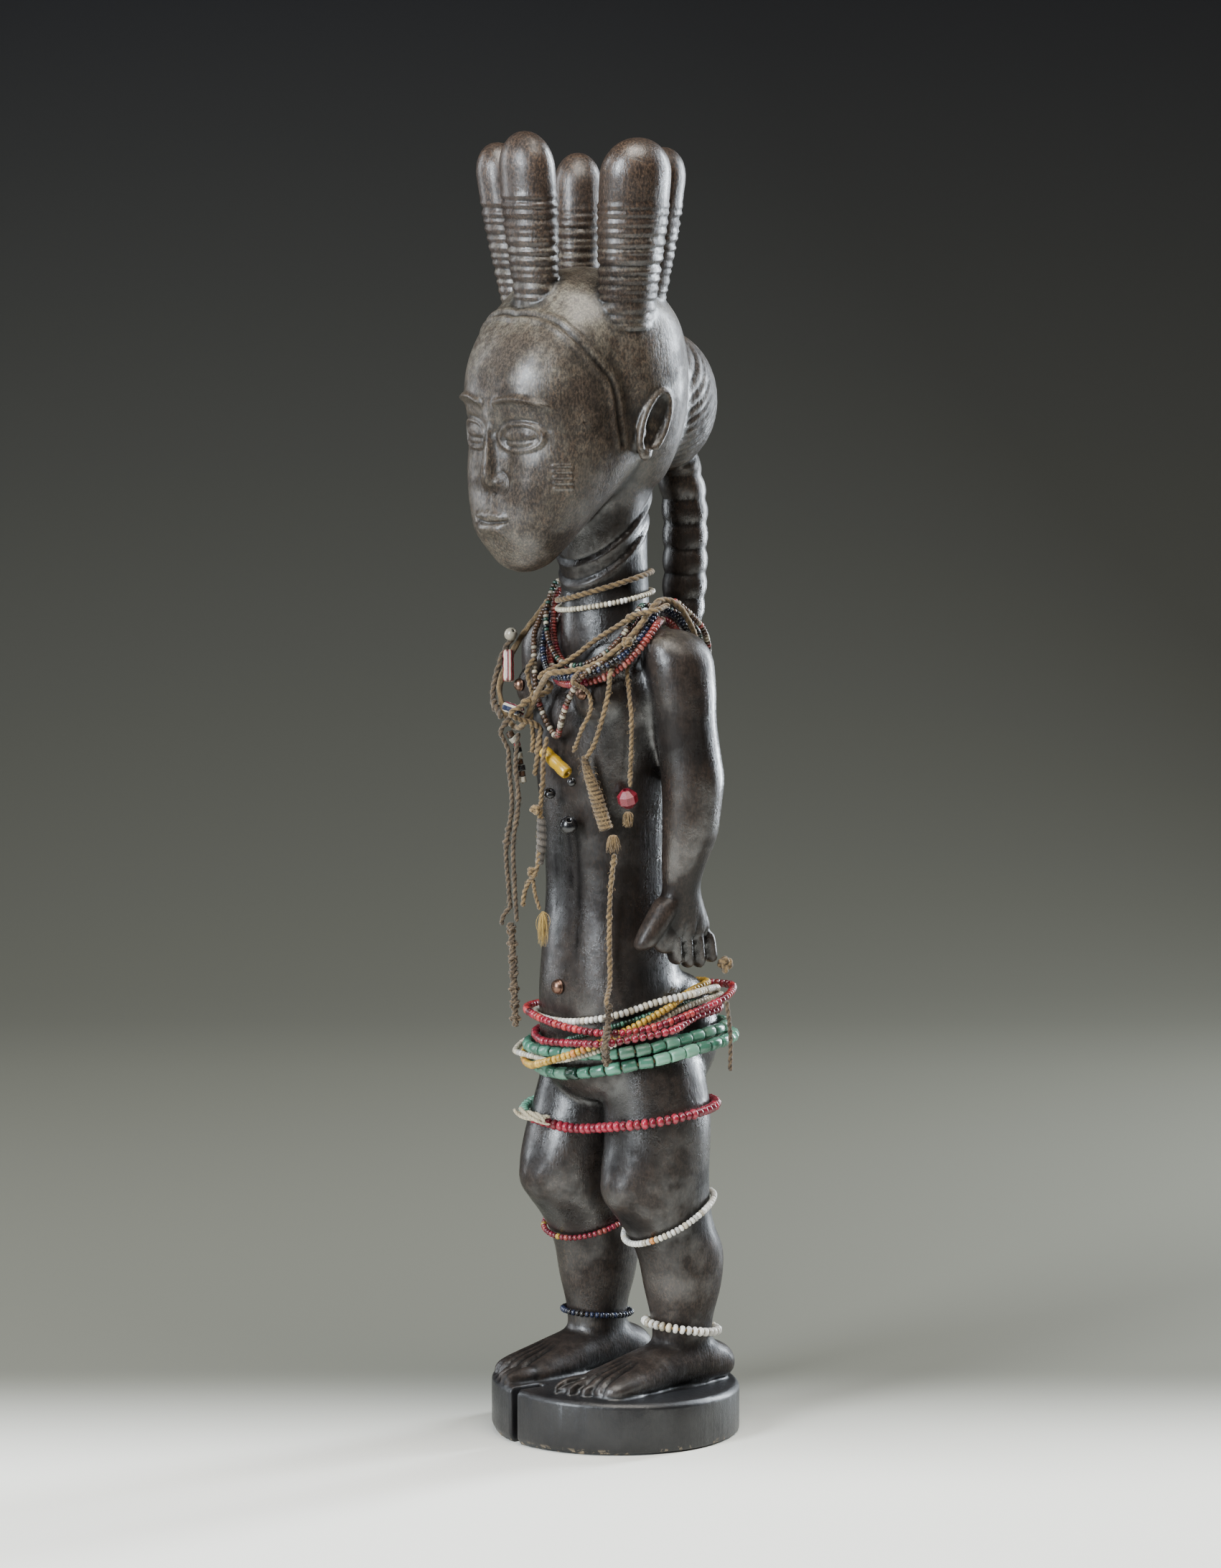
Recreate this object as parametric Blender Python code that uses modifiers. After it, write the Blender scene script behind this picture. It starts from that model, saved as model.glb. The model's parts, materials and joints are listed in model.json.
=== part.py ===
"""Standing spirit spouse figure: one carved solid on a round base, three metal tacks,
bead strands around neck, waist, thighs, knees and ankles, and hanging fibre cords.

The figure faces -Y, its own left is +X, and the middle of the base's underside is the origin.
Lengths are metres. The carving's tables are in units, where UNITS_TALL of them make the
carved height from the sole to the tallest lock, so the figure scales with CARVED_HEIGHT.
"""
import math

import bmesh
import bpy
import numpy as np
from mathutils import Matrix, Vector
from mathutils.bvhtree import BVHTree
from mathutils.kdtree import KDTree

# Driving sizes
BASE_DIAMETER = 0.092
BASE_HEIGHT = 0.0195
BASE_EDGE = 0.0016
BASE_SLOPE = 0.0016
SPLIT_WIDTH = 0.0040
SPLIT_DEPTH = 0.0150
SPLIT_OFFSET = -0.0037
CARVED_HEIGHT = 0.4605
UNITS_TALL = 460.5
SOLE_LEVEL = 19.5
GAP = 0.0003

# Tacks: diameter, rise of the dome and of the back as shares of the radius or diameter
BREAST_TACK_DIAMETER = 0.0048
NAVEL_TACK_DIAMETER = 0.0057
TACK_RISE = 0.45
TACK_BACK = 0.10

# Remeshing of the carving
BODY_VOXEL = 0.0021
FORM_VOXEL = 0.0017
BODY_FACES = 2600

UNIT = CARVED_HEIGHT / UNITS_TALL
NAME = "spirit_spouse_figure"


def clear_scene():
    for thing in list(bpy.data.objects):
        bpy.data.objects.remove(thing, do_unlink=True)


def new_collection(name):
    group = bpy.data.collections.new(name)
    bpy.context.scene.collection.children.link(group)
    return group


def material(name, colour, roughness, metallic=0.0):
    made = bpy.data.materials.new(name)
    made.use_nodes = True
    shader = made.node_tree.nodes["Principled BSDF"]
    shader.inputs["Base Color"].default_value = (*colour, 1.0)
    shader.inputs["Roughness"].default_value = roughness
    shader.inputs["Metallic"].default_value = metallic
    return made


def at(x, y, z):
    """A place given in carving units, as metres above the floor."""
    return Vector((x * UNIT, y * UNIT, BASE_HEIGHT + (z - SOLE_LEVEL) * UNIT))


# Forms of the carving

def smooth_values(stations, share):
    """Values along a list of stations at a share 0..1 of its length, through a cubic curve."""
    table = np.array(stations, dtype=float)
    steps = np.linalg.norm(np.diff(table[:, :3], axis=0), axis=1)
    marks = np.concatenate([[0.0], np.cumsum(steps)])
    slopes = np.gradient(table, marks, axis=0)
    place = np.clip(share, 0.0, 1.0) * marks[-1]
    low = np.clip(np.searchsorted(marks, place, side="right") - 1, 0, len(marks) - 2)
    span = marks[low + 1] - marks[low]
    t = ((place - marks[low]) / span)[:, None]
    span = span[:, None]
    first, second = table[low], table[low + 1]
    return ((2 * t**3 - 3 * t**2 + 1) * first + (t**3 - 2 * t**2 + t) * span * slopes[low]
            + (3 * t**2 - 2 * t**3) * second + (t**3 - t**2) * span * slopes[low + 1]), marks[-1]


def swept_form(name, stations, cap=0.0, power=2.0, along="z", sides=32, rings=40):
    """A closed form through stations (x, y, z, half width, half depth), from a UV sphere."""
    mesh = bpy.data.meshes.new(name)
    ball = bmesh.new()
    bmesh.ops.create_uvsphere(ball, u_segments=sides, v_segments=rings, radius=1.0)
    ball.to_mesh(mesh)
    ball.free()
    points = np.empty(len(mesh.vertices) * 3)
    mesh.vertices.foreach_get("co", points)
    points = points.reshape(-1, 3)
    share = (1.0 - points[:, 2]) / 2.0
    values, length = smooth_values(stations, share)
    turn = np.arctan2(points[:, 1], points[:, 0])
    off_pole = np.where(np.hypot(points[:, 0], points[:, 1]) < 1e-5, 0.0, 1.0)
    if cap > 0:
        from_end = np.minimum(share, 1.0 - share) * length
        inside = np.clip(1.0 - from_end / cap, 0.0, 1.0)
        off_pole = off_pole * np.sqrt(np.maximum(1.0 - inside**2, 0.0))
    across = np.sign(np.cos(turn)) * np.abs(np.cos(turn))**(2.0 / power) * values[:, 3] * off_pole
    deep = np.sign(np.sin(turn)) * np.abs(np.sin(turn))**(2.0 / power) * values[:, 4] * off_pole
    x, y, z = values[:, 0] + across, values[:, 1].copy(), values[:, 2].copy()
    if along == "z":
        y += deep
    else:
        z += deep
    places = np.stack([x * UNIT, y * UNIT, BASE_HEIGHT + (z - SOLE_LEVEL) * UNIT], axis=1)
    mesh.vertices.foreach_set("co", places.ravel())
    made = bpy.data.objects.new(name, mesh)
    bpy.context.scene.collection.objects.link(made)
    face_outward(mesh)
    return made


def face_outward(mesh):
    shell = bmesh.new()
    shell.from_mesh(mesh)
    bmesh.ops.recalc_face_normals(shell, faces=shell.faces)
    shell.to_mesh(mesh)
    shell.free()


def ball_form(name, centre, radii, sides=24, rings=16):
    """An ellipsoid in carving units."""
    mesh = bpy.data.meshes.new(name)
    ball = bmesh.new()
    bmesh.ops.create_uvsphere(ball, u_segments=sides, v_segments=rings, radius=1.0)
    for vertex in ball.verts:
        vertex.co = at(centre[0] + vertex.co.x * radii[0], centre[1] + vertex.co.y * radii[1],
                       centre[2] + vertex.co.z * radii[2])
    ball.to_mesh(mesh)
    ball.free()
    made = bpy.data.objects.new(name, mesh)
    bpy.context.scene.collection.objects.link(made)
    return made


def mirrored(stations, side, shift=0.0, still_above=None):
    """The same stations on the figure's left (side 1) or right (side -1), moved along y.
    The move fades out over 30 units below the level still_above."""
    made = []
    for x, y, z, wide, deep in stations:
        fade = 1.0 if still_above is None else min(1.0, max(0.0, (still_above - z) / 30))
        made.append((x * side, y + shift * fade, z, wide, deep))
    return made


# Station tables: x, y, z, half width, half depth
TORSO = [(0, 2, 124, 17, 15), (0, 2, 132, 25.5, 22), (0, 1.5, 143, 29, 24.5), (0, -0.3, 154, 28, 24.2),
         (0, -2.6, 166, 25.5, 23.4), (0, -3, 182, 23.8, 22.4), (0, -3, 202, 22.5, 21),
         (0, -4, 222, 22.5, 21), (0, -5, 242, 24.5, 22), (0, -5.5, 258, 27, 22.5),
         (0, -5, 272, 30.5, 22), (0, -3, 284, 31.5, 19), (0, -2.5, 292, 28, 15),
         (0, -3.5, 299, 17, 12)]
LEG = [(20, 15.5, 17, 10, 12), (20, 15.5, 32, 9.6, 11.6), (20, 15.3, 42, 10, 12),
       (20, 15.5, 54, 12.6, 14.8), (19.6, 14.5, 68, 14.3, 16.8), (19, 8.5, 80, 15, 18),
       (19, 4.5, 88, 16, 20.5), (19, 3, 97, 17, 21.2), (19, 4, 109, 17.8, 20.2),
       (18.4, 4.6, 122, 17.8, 20), (17.4, 3.6, 136, 16.6, 19.4),
       (14.5, 1.5, 152, 14, 18)]
FOOT = [(20.5, 38, 24, 7, 5.5), (20.4, 30, 25.5, 10, 7.5), (20, 16, 27, 11.5, 9.5),
        (20, 2, 25.5, 12, 8.5), (20, -12, 23.5, 13, 6.8), (20, -24, 22, 13, 5), (20, -31, 21, 11.5, 3.6)]
ARM = [(30.5, -1, 301, 7, 9), (34, 0, 294, 11, 12.4), (36, 1, 282, 11.5, 12.8),
       (36.8, 2, 268, 10.8, 11.6), (37.4, 4, 254, 10.7, 11.6), (37.8, 4.8, 247, 11.0, 11.8),
       (37.4, 4.8, 238, 10.3, 11.2), (36.3, 4.8, 226, 9.4, 10.6), (33.6, 4, 213.5, 7.5, 8.3),
       (32.4, 4, 207, 6.4, 7.4), (31.5, 5, 200, 5.6, 9.5), (30.5, 7, 192, 5.0, 11.8),
       (30, 9, 186, 4.6, 11.4)]
NECK = [(0, -5, 284, 19, 16), (0, -5, 298, 16.6, 16.2), (0, -5, 312, 16, 16),
        (0, -6.5, 328, 16.4, 16.6), (0, -8, 345, 18.4, 18.6), (0, -8.5, 358, 23, 21)]
FACE = [(0, -44, 321.5, 7, 5), (0, -43, 327, 13, 9), (0, -42, 335, 19.5, 15), (0, -38, 345, 24.8, 20.5),
        (0, -32.5, 355, 28.3, 26.5), (0, -27, 365, 30.8, 32), (0, -24, 380, 32, 36.2),
        (0, -23, 395, 32, 36.2), (0, -20.5, 408, 30.3, 32), (0, -17.5, 418, 26.5, 25.5), (0, -16, 427, 17, 17)]
HAIR = [(0, -2, 348, 18, 13), (0, -4, 360, 26, 21), (0, -7, 375, 32.5, 28),
        (0, -9.5, 390, 34.8, 32), (0, -12, 404, 34.2, 33.5), (0, -13.5, 415, 31, 30.5),
        (0, -15, 424, 23.5, 23.5), (0, -16, 431, 11, 11)]
BRAID = [(0, 28, 362, 8.6, 8.6), (0, 32.5, 346, 8.4, 8.4), (0, 33.4, 326, 8.2, 8.2),
         (0, 32.6, 306, 8.0, 8.0), (0, 29.5, 291, 7.8, 7.8), (0, 27, 281, 6.8, 6.8)]

BREAST = (16.5, -19, 277)
BREAST_HALF = (10.5, 12, 10.5)
NAVEL_LEVEL = 168.5

# Horn-like locks: root place, tip place, half width and half depth near the tip
LOCKS = {
    "front": ((0, -36, 406), (0, -42.5, 480), (11.0, 9.4)),
    "left": ((24, -16, 402), (36, -20, 478), (11.6, 13.6)),
    "right": ((-26, -20, 404), (-36, -26, 475), (9.4, 9.6)),
    "back_left": ((15, -1, 406), (24, 2, 474), (9.6, 9.6)),
    "back_right": ((-17, -3, 406), (-24, 2, 471), (8.6, 8.8)),
}
LOCK_RIDGES = 12
LOCK_RIDGE_DEPTH = 0.75
LOCK_RINGED_SHARE = 0.62
BRAID_RINGS = 9
BRAID_RING_DEPTH = 1.0
RIGHT_LEG_SHIFT = -7.5
RIGHT_ARM_SHIFT = 6.0
HIP_LEVEL = 136
SHOULDER_LEVEL = 272
TOES = 5


def toes(side, shift):
    """Five toes in a slanted row, the big one inside."""
    made = []
    for number in range(TOES):
        share = number / (TOES - 1)
        radius = 3.9 - 1.3 * share
        x = side * (11.2 + 18.5 * share)
        y = -28.5 + 9.0 * share**1.3 + shift
        made.append(ball_form("toe", (x, y, SOLE_LEVEL + 2.4 - 0.5 * share),
                              (radius * 0.80, radius * 2.6, radius), 12, 8))
    return made


def fingers(side, shift):
    """Four fingers laid down on the hip and the thumb in front of them."""
    made = []
    for number in range(4):
        share = number / 3
        knuckle = (side * 30.2, 1.2 + 5.4 * number + shift, 191 - 0.6 * number)
        tip = (side * (30 + 0.3 * number), 4.0 + 5.2 * number + shift, 174.5 + abs(number - 1.6) * 1.6)
        thick = 2.7 - 0.2 * share
        stations = [(*knuckle, 4.2, thick), (*tip, 3.6, thick * 0.9)]
        made.append(swept_form("finger", stations, 3.0, 2.0, "z", 12, 12))
    thumb = [(side * 31.2, 1.5, 204, 5.2, 6.4), (side * 31, -4.5, 196.5, 5.0, 5.8), (side * 30.2, -9.5, 189.5, 4.6, 5.0),
             (side * 29.4, -12.5, 184, 3.6, 3.8)]
    thumb = [(x, y + shift, *rest) for x, y, *rest in thumb]
    made.append(swept_form("thumb", thumb, 3.4, 2.0, "z", 12, 14))
    made.append(ball_form("palm", (side * 30.6, -1.5 + shift, 190), (3.4, 8, 8), 16, 12))
    return made


def lock(name, root, tip, half):
    """One lock: ringed below, a smooth swelling bulb above."""
    count = 2 * LOCK_RIDGES
    root, tip = np.array(root, float), np.array(tip, float)
    stations = []
    for step in range(count + 1):
        share = LOCK_RINGED_SHARE * step / count
        ridge = LOCK_RIDGE_DEPTH * (1 if step % 2 else -1) * min(1.0, (count - step) / 4 + 0.2)
        stations.append((share, ridge))
    stations += [(LOCK_RINGED_SHARE + (1 - LOCK_RINGED_SHARE) * s, 0.0) for s in (0.25, 0.5, 0.72, 0.9, 1.0)]
    return ring_stack(name, root, tip, stations, half, 8)


def lock_swell(share):
    """Share of the full half width along a lock, root to tip."""
    body = 0.70 + 0.30 * np.sin(min(share / 0.8, 1.0) * math.pi / 2)**1.5
    tip = math.sqrt(max(0.0, 1 - max(0.0, (share - 0.82) / 0.18)**2))
    return body * tip


def ring_stack(name, root, tip, stations, half, sides):
    """Rings along a straight line, each in or out of the swelling outline by its ridge."""
    shell = bmesh.new()
    last = None
    for share, ridge in stations:
        centre = root + (tip - root) * share
        swell = lock_swell(share)
        wide, deep = max(half[0] * swell + ridge, 0.05), max(half[1] * swell + ridge, 0.05)
        ring = []
        for side in range(sides):
            turn = 2 * math.pi * (side + 0.5) / sides
            ring.append(shell.verts.new(at(centre[0] + wide * math.cos(turn),
                                           centre[1] + deep * math.sin(turn), centre[2])))
        if last is None:
            shell.faces.new(list(reversed(ring)))
        else:
            for side in range(sides):
                after = (side + 1) % sides
                shell.faces.new((last[side], last[after], ring[after], ring[side]))
        last = ring
    shell.faces.new(last)
    bmesh.ops.triangulate(shell, faces=shell.faces)
    bmesh.ops.recalc_face_normals(shell, faces=shell.faces)
    mesh = bpy.data.meshes.new(name)
    shell.to_mesh(mesh)
    shell.free()
    made = bpy.data.objects.new(name, mesh)
    bpy.context.scene.collection.objects.link(made)
    return made


def braid():
    """The hanging braid: a tube of bulging rings."""
    shell = bmesh.new()
    count = 2 * BRAID_RINGS
    values, _ = smooth_values(BRAID, np.linspace(0, 1, count + 1))
    last = None
    sides = 8
    for step, (x, y, z, wide, deep) in enumerate(values):
        ridge = BRAID_RING_DEPTH * (0.5 if step % 2 else -0.9)
        ring = []
        for side in range(sides):
            turn = 2 * math.pi * (side + 0.5) / sides
            ring.append(shell.verts.new(at(x + (wide + ridge) * math.cos(turn),
                                           y + (deep + ridge) * math.sin(turn), z)))
        if last is None:
            shell.faces.new(ring)
        else:
            for side in range(sides):
                after = (side + 1) % sides
                shell.faces.new((last[side], ring[side], ring[after], last[after]))
        last = ring
    shell.faces.new(list(reversed(last)))
    bmesh.ops.triangulate(shell, faces=shell.faces)
    bmesh.ops.recalc_face_normals(shell, faces=shell.faces)
    mesh = bpy.data.meshes.new("braid")
    shell.to_mesh(mesh)
    shell.free()
    made = bpy.data.objects.new("braid", mesh)
    bpy.context.scene.collection.objects.link(made)
    return made


def hair_band(side):
    """Half of the raised hairline, over the brow and down to the front of the ear."""
    path = [(side * x, y, z) for x, y, z in
            ((0, -48, 414.5), (9, -46.3, 414.2), (17.5, -43.5, 412.4), (24.5, -41, 408), (30, -34, 398),
             (32, -26.5, 384), (31.2, -23.5, 370))]
    made = []
    for start, end in zip(path, path[1:]):
        for step in range(5):
            spot = np.array(start) + (np.array(end) - np.array(start)) * step / 5
            made.append(ball_form("band", tuple(spot), (2.6, 2.6, 2.6), 8, 6))
    return made


def generic_face():
    """Broad face forms after the carving tradition: long nose ridge, brows, lids and lips."""
    made = [swept_form("nose", [(0, -55, 381, 2.2, 2.5), (0, -56.5, 368, 2.6, 3), (0, -57.5, 356, 3.2, 3.6),
                                (0, -57, 350, 4.4, 4.2), (0, -55, 347, 3.6, 3)], 2.5, 2.0, "z", 14, 16)]
    made.append(ball_form("lips", (0, -54.2, 336.5), (6.5, 4.2, 3.2), 16, 10))
    for side in (-1, 1):
        made.append(ball_form("eye", (side * 12.5, -49.5, 368), (7.2, 4.4, 4.0), 16, 10))
        made.append(ball_form("ear", (side * 31.5, -10, 376), (3.2, 7.4, 12.5), 16, 14))
    return made


def soft_forms():
    """The forms that flow into each other: trunk, limbs, neck and head."""
    made = [swept_form("torso", TORSO, 3, 2.6), swept_form("neck", NECK),
            swept_form("face", FACE, 4, 2.35), swept_form("hair", HAIR, 6, 2.1)]
    for side, shift, arm_shift in ((1, 0.0, 0.0), (-1, RIGHT_LEG_SHIFT, RIGHT_ARM_SHIFT)):
        made.append(swept_form("leg", mirrored(LEG, side, shift, HIP_LEVEL), 2, 2.15))
        made.append(swept_form("foot", mirrored(FOOT, side, shift * 0.75), 6, 2.2, "y"))
        made.append(ball_form("kneecap", (side * 19, -7 + shift, 95), (12.2, 13, 11.6)))
        made.append(ball_form("buttock", (side * 14, 17, 149), (15.5, 16.5, 23)))
        made.append(ball_form("breast", (side * BREAST[0], *BREAST[1:]), BREAST_HALF))
        made.append(ball_form("shoulder_slope", (side * 17, -2, 294), (13, 11, 9)))
        made.append(swept_form("arm", mirrored(ARM, side, arm_shift, SHOULDER_LEVEL), 4, 2.1))
    made.append(ball_form("shoulder_blades", (0, 7, 274), (25, 13.5, 20)))
    made.append(ball_form("chignon", (0, 19.5, 381), (21, 23.5, 26.5)))
    return made


def crisp_forms():
    """The forms that keep their own edges: hands, feet, ears, face and hairline."""
    made = generic_face()
    for side, shift, arm_shift in ((1, 0.0, 0.0), (-1, RIGHT_LEG_SHIFT, RIGHT_ARM_SHIFT)):
        made += toes(side, shift * 0.75)
        made += fingers(side, arm_shift)
        made += hair_band(side)
    return made


def base_form():
    """The round base, a little higher under the right foot, as carved."""
    bpy.ops.mesh.primitive_cylinder_add(vertices=48, radius=BASE_DIAMETER / 2, depth=BASE_HEIGHT,
                                        location=(0, 0, BASE_HEIGHT / 2))
    made = bpy.context.object
    made.name = "base"
    shell = bmesh.new()
    shell.from_mesh(made.data)
    bmesh.ops.bevel(shell, geom=list(shell.edges[:]) and [e for e in shell.edges if abs(
        e.verts[0].co.z - e.verts[1].co.z) < 1e-6], offset=BASE_EDGE, segments=1, affect="EDGES")
    for vertex in shell.verts:
        if vertex.co.z > 0:
            lean = (-0.64 * vertex.co.x - 0.77 * vertex.co.y) / (BASE_DIAMETER / 2)
            vertex.co.z += BASE_SLOPE * lean
    shell.to_mesh(made.data)
    shell.free()
    return made


def joined(objects, name):
    """One object holding all the given meshes in world places."""
    shell = bmesh.new()
    for thing in objects:
        part = thing.data.copy()
        part.transform(thing.matrix_world)
        shell.from_mesh(part)
        bpy.data.meshes.remove(part)
        bpy.data.objects.remove(thing, do_unlink=True)
    mesh = bpy.data.meshes.new(name)
    shell.to_mesh(mesh)
    shell.free()
    made = bpy.data.objects.new(name, mesh)
    bpy.context.scene.collection.objects.link(made)
    return made


def with_modifiers(thing):
    """The object's mesh as its modifiers leave it, the modifiers removed."""
    view = bpy.context.evaluated_depsgraph_get()
    view.update()
    mesh = bpy.data.meshes.new_from_object(thing.evaluated_get(view))
    thing.modifiers.clear()
    old = thing.data
    thing.data = mesh
    bpy.data.meshes.remove(old)
    return thing


def remeshed(thing, voxel, smoothing):
    skin = thing.modifiers.new("Skin", "REMESH")
    skin.mode = "VOXEL"
    skin.voxel_size = voxel
    if smoothing:
        soften = thing.modifiers.new("Soften", "SMOOTH")
        soften.factor = 0.5
        soften.iterations = smoothing
    return with_modifiers(thing)


def largest_shell(thing):
    """Keeps the outer shell, dropping any sealed pocket that the remesh left inside."""
    shell = bmesh.new()
    shell.from_mesh(thing.data)
    seen, groups = set(), []
    for start in shell.verts:
        if start in seen:
            continue
        group, queue = [], [start]
        seen.add(start)
        while queue:
            vertex = queue.pop()
            group.append(vertex)
            for edge in vertex.link_edges:
                other = edge.other_vert(vertex)
                if other not in seen:
                    seen.add(other)
                    queue.append(other)
        groups.append(group)
    groups.sort(key=len)
    for group in groups[:-1]:
        bmesh.ops.delete(shell, geom=group, context="VERTS")
    shell.to_mesh(thing.data)
    shell.free()
    return thing


def boolean(thing, other, operation):
    step = thing.modifiers.new(operation.title(), "BOOLEAN")
    step.operation = operation
    step.solver = "EXACT"
    step.object = other
    with_modifiers(thing)
    bpy.data.objects.remove(other, do_unlink=True)
    return thing


def carve_figure():
    """The whole carving: soft and crisp forms as one skin, then base, locks, braid and split."""
    soft = remeshed(joined(soft_forms(), "soft"), BODY_VOXEL, 5)
    whole = remeshed(joined([soft, *crisp_forms()], "figure"), FORM_VOXEL, 1)
    largest_shell(whole)
    thin = whole.modifiers.new("Thin", "DECIMATE")
    keep_detail(whole)
    thin.vertex_group = "plain"
    thin.vertex_group_factor = 0.12
    thin.ratio = min(1.0, BODY_FACES / (2 * len(whole.data.polygons)))
    with_modifiers(whole)
    whole.vertex_groups.clear()
    boolean(whole, base_form(), "UNION")
    for name, (root, tip, half) in LOCKS.items():
        boolean(whole, lock("lock_" + name, root, tip, half), "UNION")
    boolean(whole, braid(), "UNION")
    boolean(whole, split_cutter(), "DIFFERENCE")
    return clean(whole)


def keep_detail(thing):
    """Weights for thinning the mesh: full on plain forms, light on face, hands and toes."""
    group = thing.vertex_groups.new(name="plain")
    hand, toe, face = at(0, 0, 188).z, at(0, 0, 28).z, at(0, 0, 320).z
    for vertex in thing.data.vertices:
        place = vertex.co
        fine = (place.z > face and place.y < -0.02) or place.z < toe
        fine = fine or (hand - 0.02 < place.z < hand and abs(place.x) > 0.024)
        group.add([vertex.index], 0.9 if fine else 1.0, "REPLACE")


def split_cutter():
    bpy.ops.mesh.primitive_cube_add(size=1.0, location=(SPLIT_OFFSET, -BASE_DIAMETER / 2, BASE_HEIGHT / 2))
    made = bpy.context.object
    made.name = "split_cutter"
    made.data.transform(Matrix.Diagonal((SPLIT_WIDTH, 2 * SPLIT_DEPTH, BASE_HEIGHT * 1.6, 1.0)))
    made.hide_render = True
    made.display_type = "WIRE"
    bpy.context.view_layer.update()
    return made


def clean(thing):
    shell = bmesh.new()
    shell.from_mesh(thing.data)
    bmesh.ops.remove_doubles(shell, verts=shell.verts, dist=0.00004)
    bmesh.ops.dissolve_degenerate(shell, edges=shell.edges, dist=0.00003)
    bmesh.ops.triangulate(shell, faces=shell.faces)
    bmesh.ops.recalc_face_normals(shell, faces=shell.faces)
    shell.to_mesh(thing.data)
    shell.free()
    return thing


def finish(thing, name, group, look):
    thing.name = name
    thing.data.name = name
    thing.data.materials.clear()
    thing.data.materials.append(look)
    for holder in list(thing.users_collection):
        holder.objects.unlink(thing)
    group.objects.link(thing)
    if thing.type == "MESH":
        thing.data.shade_smooth()
    return thing


# Strands laid round the carving

def body_tree(thing):
    shell = bmesh.new()
    shell.from_mesh(thing.data)
    tree = BVHTree.FromBMesh(shell)
    shell.free()
    return tree


def reach(tree, origin, ray, inside):
    """Distance from the loop's middle to the carving's skin along a ray."""
    far = 90 * UNIT
    if inside:
        hit = tree.ray_cast(origin, ray, far)
    else:
        hit = tree.ray_cast(origin + ray * far, -ray, far)
    return (hit[0] - origin).length if hit[0] is not None else 2 * UNIT


def level_at(loop, turn):
    """Level of a loop at an azimuth: a tilt, a saddle fold and dips over chest and back."""
    level = loop["level"] + loop["tilt"][0] * math.cos(turn - math.radians(loop["tilt"][1]))
    level += loop["fold"][0] * math.cos(2 * (turn - math.radians(loop["fold"][1])))
    for dip, toward, width in loop["dips"]:
        away = (math.degrees(turn) - toward + 180) % 360 - 180
        level -= dip * math.exp(-(away / width)**2)
    return level


def swing_at(loop, turn):
    """How far a loop stands off the carving at an azimuth, where it hangs over others."""
    amount, toward, width = loop["swing"]
    away = (math.degrees(turn) - toward + 180) % 360 - 180
    return amount * math.exp(-(away / width)**2)


def loop_rays(loop, count):
    """Start place and direction of the ray for each point of a loop."""
    rays = []
    x, y, z = ZONES[loop["zone"]]
    for step in range(count):
        turn = 2 * math.pi * step / count
        level = level_at(loop, turn)
        if z is None:
            rays.append((at(x, y, level), Vector((math.cos(turn), math.sin(turn), 0.0))))
        else:
            rise = math.radians(level)
            ray = Vector((math.cos(turn) * math.cos(rise), math.sin(turn) * math.cos(rise), math.sin(rise)))
            rays.append((at(x, y, z), ray))
    return rays


def taut(distances):
    """The loop spans hollows: each distance at least the chord between far neighbours."""
    count = len(distances)
    spread = list(distances)
    for _ in range(3):
        for step in range(count):
            for span in (1, 2, 3):
                before, after = spread[step - span], spread[(step + span) % count]
                angle = math.pi * 2 * span / count
                chord = 2 * before * after * math.cos(angle / 1.0) / max(before + after, 1e-6)
                spread[step] = max(spread[step], chord)
    return spread


def lay_loop(tree, laid, loop, count, gap):
    """Points of a closed strand resting on the carving and on the strands laid before it."""
    radius = loop["bead"] / 2
    rays = loop_rays(loop, count)
    inside = loop["zone"] in INSIDE_ZONES
    reaches = [reach(tree, origin, ray, inside) for origin, ray in rays]
    reaches = [value + radius + gap for value in taut(reaches)]
    for step in range(count):
        reaches[step] += swing_at(loop, 2 * math.pi * step / count) * UNIT
    samples = 5
    for _ in range(60):
        points = [origin + ray * value for (origin, ray), value in zip(rays, reaches)]
        push = [0.0] * count
        for step in range(count):
            after = (step + 1) % count
            for part in range(samples):
                share = part / samples
                spot = points[step].lerp(points[after], share)
                need = radius + gap - clearance(tree, spot, radius + gap)
                for other, other_radius in laid:
                    close = other.find_range(spot, radius + other_radius + gap)
                    if close:
                        nearest = min(item[2] for item in close)
                        need = max(need, radius + other_radius + gap - nearest)
                if need > 0:
                    push[step] = max(push[step], need * (1.0 if share < 0.8 else 0.4))
                    push[after] = max(push[after], need * (1.0 if share > 0.2 else 0.4))
        if max(push) < 1e-6:
            break
        reaches = [value + move for value, move in zip(reaches, push)]
    return [origin + ray * value for (origin, ray), value in zip(rays, reaches)]


def clearance(tree, spot, wanted):
    """Distance from the skin, negative inside it, or the wanted distance where clear."""
    found = tree.find_nearest(spot, wanted * 3)
    if found[0] is None:
        return wanted
    away = (spot - found[0]).length
    return away if (spot - found[0]).dot(found[1]) >= 0 else -away


def remember(laid, points, radius, closed=True):
    """Keeps a laid strand as closely spaced points, for the strands that come after it."""
    dense = []
    count = len(points)
    for step in range(count if closed else count - 1):
        after = points[(step + 1) % count]
        pieces = max(2, int((after - points[step]).length / 0.0007))
        dense += [points[step].lerp(after, piece / pieces) for piece in range(pieces)]
    tree = KDTree(len(dense))
    for number, spot in enumerate(dense):
        tree.insert(spot, number)
    tree.balance()
    laid.append((tree, radius))


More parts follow.
